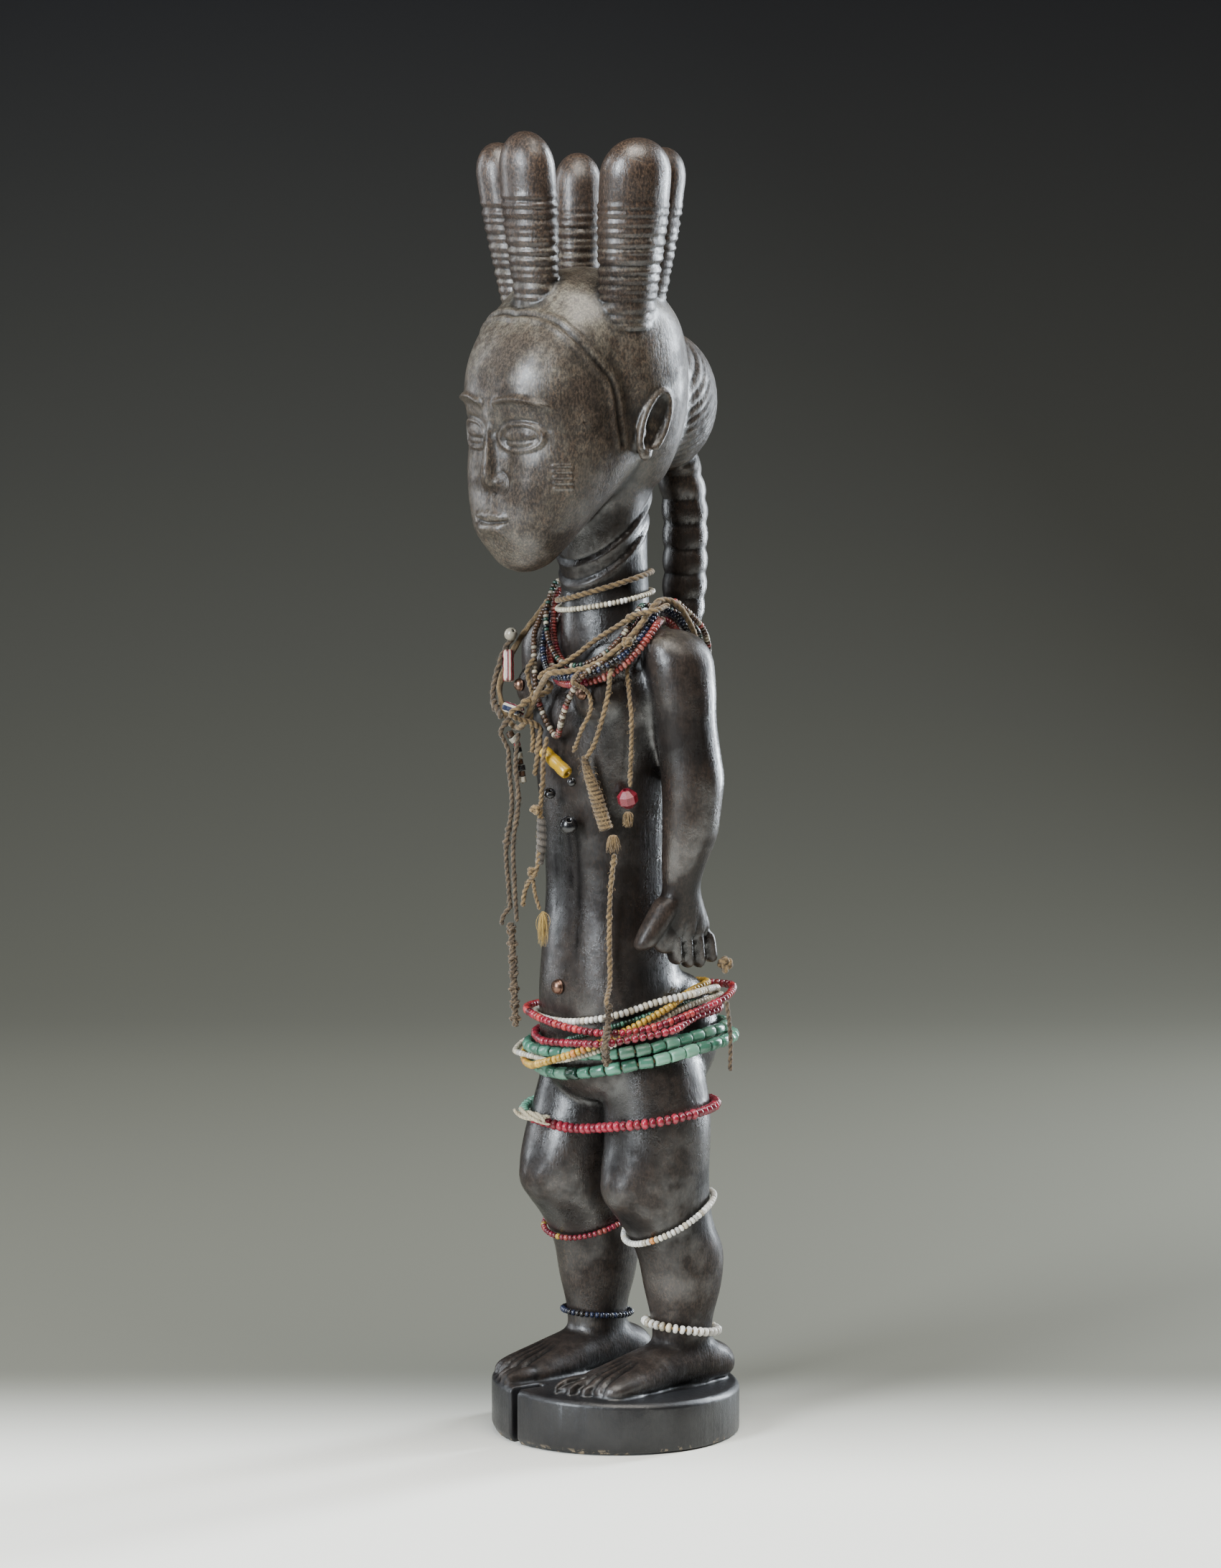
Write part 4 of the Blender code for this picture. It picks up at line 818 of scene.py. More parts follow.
def paint_wood(mesh):
    """Fields the wood's material reads: wear, hollows for painted shade, warmth, dullness, dust, stains and
    the base.
    """
    points, normals = mesh_arrays(mesh)
    bend = curvature(mesh)
    set_field(mesh, "worn", np.clip(bend / 0.00022, 0, 1))
    # Hollows, which the wood darkens as painted shade
    set_field(mesh, "hollow_shade", np.clip(-bend / 0.00025, 0, 1))
    x, y, z = to_units(points).T
    face = step_up(-y, 26, 38) * step_up(z, 316, 324)
    head = np.maximum(face, step_up(z, 338, 352))
    horns = step_up(z, 420, 440)
    side = step_up(x, 2, 16) * step_up(z, 170, 200) * step_up(z, 262, 240)
    warm = (0.62 * head + 0.25 * step_up(z, 425, 470) + 0.10 * step_up(z, 296, 320)
            + 0.30 * step_up(z, 84, 66) * step_up(z, 26, 40) + 0.22 * side)
    set_field(mesh, "warm", np.clip(warm, 0, 1))
    legs = 0.25 * step_up(z, 132, 112) + 0.40 * step_up(z, 84, 66) + 0.25 * step_up(z, 40, 30)
    legs = np.where(z < SOLE_LEVEL + 1.2, 0.55, legs)
    matte = np.maximum.reduce([0.66 * head - 0.06 * horns, 0.35 * step_up(z, 296, 312), legs])
    set_field(mesh, "matte", np.clip(matte, 0, 1))
    crown = step_up(z, 402, 412) * step_up(z, 452, 430) * step_up(normals[:, 2], -0.2, 0.5)
    brow = 0.60 * step_up(z, 384, 398) * step_up(z, 424, 412) * step_up(-y, 18, 34)
    cheeks = 0.32 * step_up(-y, 30, 46) * step_up(z, 318, 330) * step_up(z, 396, 384)
    nape = 0.30 * step_up(z, 346, 362) * step_up(z, 424, 408)
    shoulders = 0.30 * step_up(z, 283, 292) * step_up(z, 318, 300) * step_up(normals[:, 2], 0.2, 0.7)
    set_field(mesh, "dust", np.clip(np.maximum.reduce([0.9 * crown, brow, cheeks, nape, shoulders]), 0, 1))
    front = step_up(-normals[:, 1], 0.1, 0.5)
    drip = np.zeros(len(x))
    for line_x, top, bottom, wide in DRIPS:
        sway = line_x + 0.35 * np.sin(z * 0.45 + line_x)
        run = groove(x - sway, wide) * step_up(z, bottom - 1, bottom + 2) * step_up(z, top + 4, top - 4)
        drip = np.maximum(drip, run)
        drip = np.maximum(drip, groove(np.hypot(x - sway, (z - bottom) * 0.6), wide * 1.5))
    set_field(mesh, "stain", drip * front)
    set_field(mesh, "base", step_up(z, SOLE_LEVEL + 1.6, SOLE_LEVEL + 0.6))


def on_face(place):
    """Whether a place is on the part of the face that carries fine relief."""
    z = (place.z - BASE_HEIGHT) / UNIT + SOLE_LEVEL
    return place.y < -0.038 and abs(place.x) < 0.028 and 330 < z < 396


def thin_out(whole):
    """Brings the skin down to its number of triangles, keeping more of them on the face."""
    fine = {vertex.index for vertex in whole.data.vertices if on_face(vertex.co)}
    plain = [number for number in range(len(whole.data.vertices)) if number not in fine]
    group = whole.vertex_groups.new(name="plain")
    group.add(plain, 1.0, "REPLACE")
    group.add(sorted(fine), 0.35, "REPLACE")
    thin = whole.modifiers.new("Thin", "DECIMATE")
    thin.vertex_group = "plain"
    thin.vertex_group_factor = 0.5
    thin.ratio = min(1.0, SKIN_TRIANGLES / len(whole.data.polygons))
    thin.use_collapse_triangulate = True
    with_modifiers(whole)
    whole.vertex_groups.clear()


def make_figure(look):
    """The whole carving as one skin with its relief, its painted fields and its wood."""
    soft = remeshed(joined(soft_forms(), "soft"), SOFT_VOXEL, SOFT_PASSES)
    whole = remeshed(joined([soft, base_form(), *crisp_forms()], "carving"), SKIN_VOXEL, 1)
    outer_shell(whole)
    refine(whole, on_face)
    points, normals = mesh_arrays(whole.data)
    move = smooth_field(whole.data, relief(body_tree(whole.data), points, normals), 1)
    points += normals * move[:, None] * UNIT
    whole.data.vertices.foreach_set("co", points.ravel())
    whole.data.update()
    thin_out(whole)
    whole.name = "carved_figure"
    whole.data.name = "carved_figure"
    whole.data.materials.clear()
    paint_wood(whole.data)
    return with_look(whole, look)


# Strands laid round the carving, on the routes of the part's source

ZONES = {"throat": (0, -5, None), "shoulder": (0, -4, 272), "hip": (0, -0.5, None),
         "right_shin": (-18.5, 1.5, None), "left_shin": (19.5, 8, None),
         "right_ankle": (-20, 7, None), "left_ankle": (20, 14, None)}
INSIDE_ZONES = {"throat", "right_shin", "left_shin", "right_ankle", "left_ankle"}
LOOP_POINTS = 48
LOOP_ROUNDS = 24
SETTLED = 2e-5
CORD_SPACING = 0.0003
WRAP_SPACING = 0.00022
PUSH_SPACING = 0.0022
BEAD_SIZE_CHANGE = 0.05
BEAD_WOBBLE = 0.10
THREAD_SHARE = 0.16


def body_tree(mesh):
    shell = bmesh.new()
    shell.from_mesh(mesh)
    tree = BVHTree.FromBMesh(shell)
    shell.free()
    return tree


def loop(name, zone, level, tilt, fold, bead, make, dips=(), swing=(0, 0, 30)):
    return {"name": name, "zone": zone, "level": level, "tilt": tilt, "fold": fold, "dips": dips,
            "bead": bead, "make": make, "swing": swing}


def worn(dip, rise):
    """Dips of a neck strand: under the braid's end behind, and up over both shoulders."""
    return (dip, 92, 38), (-rise, 6, 32), (-rise, 178, 34)


def beads(look, long=0.75, shape="ring", slack=0.10):
    """How a strand is strung: its look, bead length as a share of its width, shape and gap."""
    return {"look": look, "long": long, "shape": shape, "slack": slack}


LOOPS = [
    loop("neck_cord_twisted", "throat", 314.5, (5.3, 40), (0, 0), 0.0022, None),
    loop("neck_strand_cream", "throat", 309.3, (3.2, 50), (0, 0), 0.0022, beads("cream_seed", 0.62)),
    loop("neck_strand_red_upper", "shoulder", 38, (11, -90), (13, 15), 0.0026, beads("red_seed", 0.48),
         worn(9, 13)),
    loop("neck_strand_red_lower", "shoulder", 28, (3, -90), (14, 28), 0.0031, beads("red_amber", 0.50),
         worn(22, 12)),
    loop("neck_strand_blue", "shoulder", 30, (4, -90), (14, 25), 0.0026, beads("dark_blue", 0.62),
         worn(19, 13)),
    loop("neck_strand_dark", "shoulder", 37.8, (10, -90), (14, 18), 0.0022, beads("dark_mixed", 0.60),
         worn(13, 14)),
    loop("neck_strand_mixed", "shoulder", 33, (6, -90), (13, 22), 0.0024, beads("brown_white", 0.60),
         (*worn(17, 14), (50, -86, 24))),
    loop("neck_cord_outer", "shoulder", 30, (6, -90), (13, 15), 0.0024, None,
         (*worn(21, 13), (50, -120, 26)), (6, -122, 30)),
    loop("waist_strand_dark_green", "hip", 153, (9.5, 30), (0, 0), 0.0021, beads("dark_green", 0.6)),
    loop("waist_strand_green_upper", "hip", 147, (4.0, 50), (0.8, 60), 0.0044,
         beads("sea_green", 1.25, "tube", 0.07)),
    loop("waist_strand_green_lower", "hip", 141.5, (6.0, 55), (0.5, 30), 0.0046,
         beads("sea_green", 1.25, "tube", 0.07)),
    loop("waist_strand_white_fine", "hip", 150.5, (11, 45), (2, 30), 0.0023, beads("cream_seed", 0.62)),
    loop("waist_strand_yellow", "hip", 152.5, (15, 48), (0, 0), 0.0030, beads("ochre", 0.62)),
    loop("waist_strand_white", "hip", 159, (5.6, 20), (2.2, 30), 0.0029, beads("cream_ring", 0.6)),
    loop("waist_strand_red_upper", "hip", 158.5, (3.8, 80), (2.2, 60), 0.0031, beads("red_bright", 0.72)),
    loop("waist_strand_red_lower", "hip", 152.5, (5.2, 50), (0.6, 40), 0.0031,
         beads("red_deep", 0.85, "round")),
    loop("thigh_strand_red", "hip", 120.2, (4.0, 70), (1.0, 10), 0.0040, beads("thigh_red", 0.64, "round")),
    loop("right_knee_strand", "right_shin", 76, (5.0, 100), (0, 0), 0.0023, beads("red_yellow", 0.75)),
    loop("left_knee_strand", "left_shin", 81.5, (8.4, 75), (0, 0), 0.0026, beads("white_amber", 0.6)),
    loop("right_ankle_strand", "right_ankle", 40, (1.2, -95), (0, 0), 0.0024, beads("dark_blue", 0.7)),
    loop("left_ankle_strand", "left_ankle", 40, (2.3, -100), (0, 0), 0.0036,
         beads("cream_ring", 0.52, "ring", 0.34)),
]


def degrees_from(turn, toward):
    """How far a turn lies from a heading in degrees, -180 to 180."""
    return (math.degrees(turn) - toward + 180) % 360 - 180


def level_at(spec, turn):
    """Level of a loop at an azimuth: a tilt, a saddle fold and dips over chest and back."""
    level = spec["level"] + spec["tilt"][0] * math.cos(turn - math.radians(spec["tilt"][1]))
    level += spec["fold"][0] * math.cos(2 * (turn - math.radians(spec["fold"][1])))
    for dip, toward, width in spec["dips"]:
        level -= dip * math.exp(-(degrees_from(turn, toward) / width)**2)
    return level


def swing_at(spec, turn):
    """How far a loop stands off the carving at an azimuth, where it hangs over others."""
    amount, toward, width = spec["swing"]
    return amount * math.exp(-(degrees_from(turn, toward) / width)**2)


def loop_rays(spec, count):
    """Start place and direction of the ray for each point of a loop."""
    rays = []
    x, y, z = ZONES[spec["zone"]]
    for step in range(count):
        turn = 2 * math.pi * step / count
        level = level_at(spec, turn)
        if z is None:
            rays.append((at(x, y, level), Vector((math.cos(turn), math.sin(turn), 0.0))))
        else:
            rise = math.radians(level)
            ray = Vector((math.cos(turn) * math.cos(rise), math.sin(turn) * math.cos(rise), math.sin(rise)))
            rays.append((at(x, y, z), ray))
    return rays


def reach(tree, origin, ray, inside):
    """Distance from the loop's middle to the carving's skin along a ray."""
    far = 90 * UNIT
    hit = tree.ray_cast(origin, ray, far) if inside else tree.ray_cast(origin + ray * far, -ray, far)
    return (hit[0] - origin).length if hit[0] is not None else 2 * UNIT


def taut(distances):
    """The loop spans hollows: each distance at least the chord between far neighbours."""
    count = len(distances)
    spread = list(distances)
    for _ in range(4):
        for step in range(count):
            for span in (1, 2, 4, 6):
                before, after = spread[step - span], spread[(step + span) % count]
                chord = 2 * before * after * math.cos(math.pi * 2 * span / count) / max(before + after, 1e-6)
                spread[step] = max(spread[step], chord)
    return spread


def clearance(tree, spot, wanted):
    """Distance from the skin, negative inside it, or the wanted distance where clear."""
    found = tree.find_nearest(spot, wanted * 3)
    if found[0] is None:
        return wanted
    away = (spot - found[0]).length
    return away if (spot - found[0]).dot(found[1]) >= 0 else -away


def room_wanted(tree, laid, spot, radius):
    """How far a strand at a spot still has to move out, clear of the wood and of other strands."""
    need = radius + GAP - clearance(tree, spot, radius + GAP)
    for other, other_radius in laid:
        found = other.find(spot)
        if found[0] is not None:
            need = max(need, radius + other_radius + GAP - found[2])
    return need


def lay_loop(tree, laid, spec):
    """Points of a closed strand resting on the carving and on the strands laid before it."""
    radius = spec["bead"] / 2
    rays = loop_rays(spec, LOOP_POINTS)
    inside = spec["zone"] in INSIDE_ZONES
    reaches = [value + radius + GAP for value in taut([reach(tree, *ray, inside) for ray in rays])]
    for step in range(LOOP_POINTS):
        reaches[step] += swing_at(spec, 2 * math.pi * step / LOOP_POINTS) * UNIT
    for _ in range(LOOP_ROUNDS):
        moves = []
        for (origin, ray), value in zip(rays, reaches):
            moves.append(max(0.0, room_wanted(tree, laid, origin + ray * value, radius)))
        if max(moves) < SETTLED:
            break
        spread = [max(moves[step], 0.5 * moves[step - 1], 0.5 * moves[(step + 1) % LOOP_POINTS])
                  for step in range(LOOP_POINTS)]
        reaches = [value + move for value, move in zip(reaches, spread)]
    eased = list(reaches)
    for _ in range(3):
        eased = [max(eased[step], (eased[step - 1] + eased[(step + 1) % LOOP_POINTS]) / 2)
                 for step in range(LOOP_POINTS)]
    return smooth_closed([origin + ray * value for (origin, ray), value in zip(rays, eased)], 5)


def rounded(p0, p1, p2, p3, t):
    """A place between the middle two of four, on a Catmull-Rom curve."""
    return 0.5 * ((2 * p1) + (p2 - p0) * t + (2 * p0 - 5 * p1 + 4 * p2 - p3) * t**2
                  + (3 * p1 - p0 - 3 * p2 + p3) * t**3)


def smooth_closed(points, pieces):
    """A closed run of points through the given ones."""
    made = []
    count = len(points)
    for step in range(count):
        four = [points[(step + offset) % count] for offset in (-1, 0, 1, 2)]
        made += [rounded(*four, piece / pieces) for piece in range(pieces)]
    return made


def smooth_open(points, spacing):
    """An open run of points through the given ones at an even spacing."""
    ends = [points[0] * 2 - points[1], *points, points[-1] * 2 - points[-2]]
    dense = []
    for four in zip(ends, ends[1:], ends[2:], ends[3:]):
        dense += [rounded(*four, piece / 24) for piece in range(24)]
    dense.append(points[-1])
    places = as_array(dense)
    marks = np.concatenate([[0.0], np.cumsum(np.linalg.norm(np.diff(places, axis=0), axis=1))])
    even = np.linspace(0, marks[-1], max(4, int(round(marks[-1] / spacing)) + 1))
    return np.stack([np.interp(even, marks, places[:, axis]) for axis in range(3)], axis=1)


def as_array(places):
    return np.array([tuple(place) for place in places])


def run_length(points, closed=False):
    places = as_array(points)
    if closed:
        places = np.vstack([places, places[:1]])
    return float(np.linalg.norm(np.diff(places, axis=0), axis=1).sum())


def remember(laid, points, radius):
    """Keeps a laid strand as closely spaced points, for the strands that come after it."""
    tree = KDTree(len(points))
    for number, spot in enumerate(points):
        tree.insert(spot, number)
    tree.balance()
    laid.append((tree, radius))


# Beads

BEAD_PROFILES = {
    "ring": ((0.30, -0.50), (0.72, -0.45), (0.97, -0.19), (0.97, 0.19), (0.72, 0.45), (0.30, 0.50)),
    "round": ((0.25, -0.52), (0.72, -0.40), (0.97, -0.14), (0.97, 0.14), (0.72, 0.40), (0.25, 0.52)),
    "tube": ((0.35, -0.50), (0.88, -0.48), (1.0, -0.38), (1.0, 0.38), (0.88, 0.48), (0.35, 0.50)),
}
BEAD_SIDES = 8


def lathe(name, profile, sides):
    """A turned form from (radius, height) pairs, its bore closed by an inner wall."""
    points = []
    for radius, height in profile:
        for side in range(sides):
            turn = 2 * math.pi * side / sides
            points.append((radius * math.cos(turn), radius * math.sin(turn), height))
    return mesh_from(name, points, ring_faces(len(profile), sides, True))


def bead_model(name, width, long, shape):
    """One small bead of few faces, its hole along Z."""
    profile = [(radius * width / 2, height * long) for radius, height in BEAD_PROFILES[shape]]
    model = lathe(name, profile, BEAD_SIDES)
    model.data.shade_smooth()
    return model


def value_node(tree, kind, inputs=None, **settings):
    """A node with its settings and plain input values."""
    made = tree.nodes.new(kind)
    for key, value in settings.items():
        setattr(made, key, value)
    for key, value in (inputs or {}).items():
        made.inputs[key].default_value = value
    return made


def link_all(group, links):
    """Links nodes: each link is a node, its output, the node that takes it, and the input there."""
    for giver, output, taker, socket in links:
        group.links.new(giver.outputs[output], taker.inputs[socket])


def stringing_group():
    """Geometry nodes that string beads along the host's edges, each a little turned and sized."""
    group = bpy.data.node_groups.new("string_beads", "GeometryNodeTree")
    sockets = (("Route", "NodeSocketGeometry"), ("Bead", "NodeSocketObject"), ("Count", "NodeSocketInt"),
               ("Size Change", "NodeSocketFloat"), ("Wobble", "NodeSocketFloat"), ("Seed", "NodeSocketInt"),
               ("Thread Radius", "NodeSocketFloat"), ("Glass", "NodeSocketMaterial"),
               ("Thread", "NodeSocketMaterial"))
    for label, kind in sockets:
        group.interface.new_socket(label, in_out="INPUT", socket_type=kind)
    group.interface.new_socket("Strand", in_out="OUTPUT", socket_type="NodeSocketGeometry")
    start = group.nodes.new("NodeGroupInput")
    end = group.nodes.new("NodeGroupOutput")
    route = group.nodes.new("GeometryNodeMeshToCurve")
    spots = value_node(group, "GeometryNodeCurveToPoints", mode="COUNT")
    aim = value_node(group, "FunctionNodeAlignRotationToVector", axis="Z")
    tilt = value_node(group, "FunctionNodeRandomValue", data_type="FLOAT_VECTOR")
    low_turn = value_node(group, "ShaderNodeVectorMath", operation="SCALE")
    low_turn.inputs[0].default_value = (-1.0, -1.0, -12.0)
    high_turn = value_node(group, "ShaderNodeVectorMath", operation="SCALE")
    high_turn.inputs[0].default_value = (1.0, 1.0, 12.0)
    turned = value_node(group, "FunctionNodeRotateRotation", rotation_space="LOCAL")
    turn_value = group.nodes.new("FunctionNodeEulerToRotation")
    small = value_node(group, "ShaderNodeMath", operation="SUBTRACT")
    small.inputs[0].default_value = 1.0
    large = value_node(group, "ShaderNodeMath", operation="ADD")
    large.inputs[0].default_value = 1.0
    size = value_node(group, "FunctionNodeRandomValue", data_type="FLOAT")
    number = group.nodes.new("GeometryNodeInputIndex")
    run_share = value_node(group, "ShaderNodeMath", operation="DIVIDE")
    model = value_node(group, "GeometryNodeObjectInfo", transform_space="ORIGINAL")
    place = group.nodes.new("GeometryNodeInstanceOnPoints")
    seed_tone = value_node(group, "ShaderNodeMath", operation="ADD")
    seed_tone.inputs[1].default_value = 17.0
    tone = value_node(group, "FunctionNodeRandomValue", data_type="FLOAT")
    pick = value_node(group, "FunctionNodeRandomValue", data_type="FLOAT")
    keep_tone, keep_pick, keep_run = (
        value_node(group, "GeometryNodeStoreNamedAttribute", {"Name": label}, data_type="FLOAT",
                   domain="INSTANCE") for label in ("tone", "pick", "along"))
    solid = group.nodes.new("GeometryNodeRealizeInstances")
    glass = group.nodes.new("GeometryNodeSetMaterial")
    round_thread = value_node(group, "GeometryNodeCurvePrimitiveCircle", {"Resolution": 5})
    thread = group.nodes.new("GeometryNodeCurveToMesh")
    thread_look = group.nodes.new("GeometryNodeSetMaterial")
    both = group.nodes.new("GeometryNodeJoinGeometry")
    links = (
        (start, "Route", route, "Mesh"), (route, "Curve", spots, "Curve"),
        (start, "Count", spots, "Count"), (spots, "Tangent", aim, "Vector"),
        (start, "Wobble", low_turn, "Scale"), (start, "Wobble", high_turn, "Scale"),
        (low_turn, 0, tilt, "Min"), (high_turn, 0, tilt, "Max"), (start, "Seed", tilt, "Seed"),
        (tilt, "Value", turn_value, "Euler"), (aim, "Rotation", turned, "Rotation"),
        (turn_value, "Rotation", turned, "Rotate By"), (start, "Size Change", small, 1),
        (start, "Size Change", large, 1), (small, 0, size, "Min"), (large, 0, size, "Max"),
        (start, "Seed", size, "Seed"), (start, "Bead", model, "Object"),
        (spots, "Points", place, "Points"), (model, "Geometry", place, "Instance"),
        (turned, "Rotation", place, "Rotation"), (size, "Value", place, "Scale"),
        (start, "Seed", seed_tone, 0), (seed_tone, 0, tone, "Seed"), (start, "Seed", pick, "Seed"),
        (place, "Instances", keep_tone, "Geometry"), (tone, "Value", keep_tone, "Value"),
        (keep_tone, "Geometry", keep_pick, "Geometry"), (pick, "Value", keep_pick, "Value"),
        (number, "Index", run_share, 0), (start, "Count", run_share, 1),
        (keep_pick, "Geometry", keep_run, "Geometry"), (run_share, 0, keep_run, "Value"),
        (keep_run, "Geometry", solid, "Geometry"), (solid, "Geometry", glass, "Geometry"),
        (start, "Glass", glass, "Material"), (start, "Thread Radius", round_thread, "Radius"),
        (route, "Curve", thread, "Curve"), (round_thread, "Curve", thread, "Profile Curve"),
        (thread, "Mesh", thread_look, "Geometry"), (start, "Thread", thread_look, "Material"),
        (glass, "Geometry", both, "Geometry"), (thread_look, "Geometry", both, "Geometry"),
        (both, "Geometry", end, "Strand")
    )
    link_all(group, links)
    return group


def string_beads(group, name, points, spec, looks, seed):
    """A strand of separate beads on a thread along a closed route, as plain mesh."""
    width, how = spec["bead"], spec["make"]
    bead_long = width * how["long"]
    count = max(6, int(round(run_length(points, True) / (bead_long * (1 + how["slack"])))))
    host_mesh = bpy.data.meshes.new(name)
    total = len(points)
    edges = [(step, (step + 1) % total) for step in range(total)]
    host_mesh.from_pydata([tuple(place) for place in points], edges, [])
    host = new_object(name, host_mesh)
    model = bead_model(name + "_bead", width, bead_long, how["shape"])
    step = host.modifiers.new("Beads", "NODES")
    step.node_group = group
    values = {"Bead": model, "Count": count, "Size Change": BEAD_SIZE_CHANGE,
              "Wobble": BEAD_WOBBLE, "Seed": seed,
              "Thread Radius": width * THREAD_SHARE, "Glass": looks[how["look"]], "Thread": looks["fibre"]}
    for item in group.interface.items_tree:
        if item.item_type == "SOCKET" and item.in_out == "INPUT" and item.name in values:
            step[item.identifier] = values[item.name]
    host.update_tag()
    with_modifiers(host)
    bpy.data.objects.remove(model, do_unlink=True)
    host.data.name = name
    host.data.shade_smooth()
    return host


# Fibre cords, wraps, knots and tufts

def set_valley(made, route, sides, depth):
    """Marks how deep each vertex of a cord lies between its plies, 0 on top and 1 at the bottom."""
    points, _ = mesh_arrays(made.data)
    centres = as_array(route)
    away = np.linalg.norm(points.reshape(len(centres), sides, 3) - centres[:, None], axis=2)
    if sides < 16:
        top = away.max(axis=1)
    else:
        top = np.array([away[max(0, ring - 5):ring + 6].max() for ring in range(len(centres))])
    set_field(made.data, "valley", np.clip((1 - away / top[:, None]) / depth, 0, 1).ravel())


def lumpy(seed, count, rise=0.45):
    """A swelling along a cord: a few knots and thick places at random stations."""
    noise = np.random.default_rng(seed)
    lumps = [(noise.uniform(0.04, 0.96), noise.uniform(0.4, 1.0) * rise, noise.uniform(0.008, 0.02))
             for _ in range(count)]
    return lambda share: 1.0 + sum(high * math.exp(-((share - spot) / wide)**2) for spot, high, wide in lumps)


def twisted_cord(name, route, diameter, look, plies=2, pitch=2.6, closed=False, sides=14, swell=None,
                 fuzz=0.0):
    """A laid cord of twisted plies along a route; fuzz roughens it, swell thickens it on the way."""
    radius = diameter / 2
    length = run_length(route, closed)
    turns = max(1, round(length / (pitch * diameter)))
    noise = np.random.default_rng(len(name) * 7 + sides)
    jitter = noise.uniform(-fuzz, fuzz, 4096)

    def radius_at(share, angle):
        wave = abs(math.cos((angle - 2 * math.pi * turns * share) * plies / 2))
        body = 0.60 + 0.40 * wave**0.75
        rough = jitter[int(share * 3000 + angle * 37) % 4096]
        return radius * body * (1 + rough) * (swell(share) if swell else 1.0)

    points, faces = tube_shell(as_array(route), radius_at, sides, closed)
    made = finished(name, points, faces, look)
    set_valley(made, route, sides, 0.36)
    return made


def add_fibre(points, faces, path, thick, taper):
    """Adds one thin fibre, thinner toward its tip, to a mesh's points and faces."""
    own_points, own_faces = tube_shell(path, lambda share, angle: thick * (1 - taper * share), 4)
    offset = len(points)
    points += own_points
    faces += [tuple(index + offset for index in face) for face in own_faces]


def stray_fibres(name, route, diameter, count, reach_out, look, seed):
    """Short loose hairs that stand off a cord."""
    noise = np.random.default_rng(seed)
    route = as_array(route)
    points, faces = [], []
    for _ in range(count):
        spot = int(noise.uniform(1, len(route) - 2))
        along = route[spot + 1] - route[spot - 1]
        along /= np.linalg.norm(along)
        out = np.cross(along, noise.normal(0, 1, 3))
        out /= np.linalg.norm(out)
        lean = along * noise.choice((-1, 1)) * noise.uniform(0.3, 1.6)
        far = reach_out * noise.uniform(0.4, 1.0)
        path = []
        for step in range(5):
            share = step / 4
            path.append(route[spot] + out * (diameter * 0.38 + far * share**0.8) + lean * far * share
                        + out * far * 0.25 * math.sin(4 * share))
        add_fibre(points, faces, path, 0.00007, 0.5)
    return finished(name, points, faces, look)


def wrapped_form(name, route, diameter, look, pitch, depth=0.13, swell=None):
    """A stretch bound round with cord: ridges that wind along it."""
    radius = diameter / 2
    length = run_length(route)
    turns = length / pitch

    def radius_at(share, angle):
        phase = (turns * share + angle / (2 * math.pi)) % 1.0
        ridge = math.sin(math.pi * phase)**0.7
        ply = 0.03 * math.sin(angle * 3 + share * 160)
        return radius * (1 - depth + depth * ridge + ply) * (swell(share) if swell else 1.0)

    points, faces = tube_shell(as_array(route), radius_at, 20)
    made = finished(name, points, faces, look)
    set_valley(made, route, 20, depth * 0.9)
    return made


def knot_form(name, place, across, up, thick, look, turn=0.0):
    """A small overhand knot: a trefoil run of cord drawn tight."""
    route = []
    for step in range(90):
        t = 2 * math.pi * step / 90
        x = (math.sin(t) + 2 * math.sin(2 * t)) / 3
        y = (math.cos(t) - 2 * math.cos(2 * t)) / 3
        z = -math.sin(3 * t)
        side = x * math.cos(turn) - z * 0.8 * math.sin(turn)
        front = x * math.sin(turn) + z * 0.8 * math.cos(turn)
        route.append((place.x + side * (across - thick), place.y + front * (across - thick),
                      place.z + y * (up - thick)))
    return twisted_cord(name, route, 2 * thick, look, 2, 2.2, True, 10)


def fibre_spray(name, root, tip, count, root_radius, tip_radius, thick, look, seed, wave=0.12):
    """Loose fibres from a root to a fanned-out tip, each a thin tapered strand."""
    noise = np.random.default_rng(seed)
    root, tip = np.array(root, float), np.array(tip, float)
    axis = tip - root
    length = np.linalg.norm(axis)
    axis /= length
    first = np.cross(axis, (0.3, 0.9, 0.2))
    first /= np.linalg.norm(first)
    second = np.cross(axis, first)
    points, faces = [], []
    for _ in range(count):
        angle, out = noise.uniform(0, 2 * math.pi), math.sqrt(noise.uniform(0, 1))
        away = first * math.cos(angle) + second * math.sin(angle)
        bow = noise.normal(0, wave, 3) * length
        reach_out = length * noise.uniform(0.55, 1.0)
        path = []
        for step in range(8):
            share = step / 7
            spread = root_radius + (tip_radius - root_radius) * share**1.4
            path.append(root + axis * reach_out * share + away * out * spread
                        + bow * (share * (1 - share)))
        add_fibre(points, faces, path, thick, 0.55)
    return finished(name, points, faces, look)


def merged(pieces, name):
    """Several finished meshes as one piece, keeping their materials and fields."""
    first = pieces[0]
    if len(pieces) > 1:
        with bpy.context.temp_override(active_object=first, object=first, selected_objects=pieces,
                                       selected_editable_objects=pieces):
            bpy.ops.object.join()
    first.name = name
    first.data.name = name
    return first


# Pieces hanging on the carving: places in carving units, sizes in metres

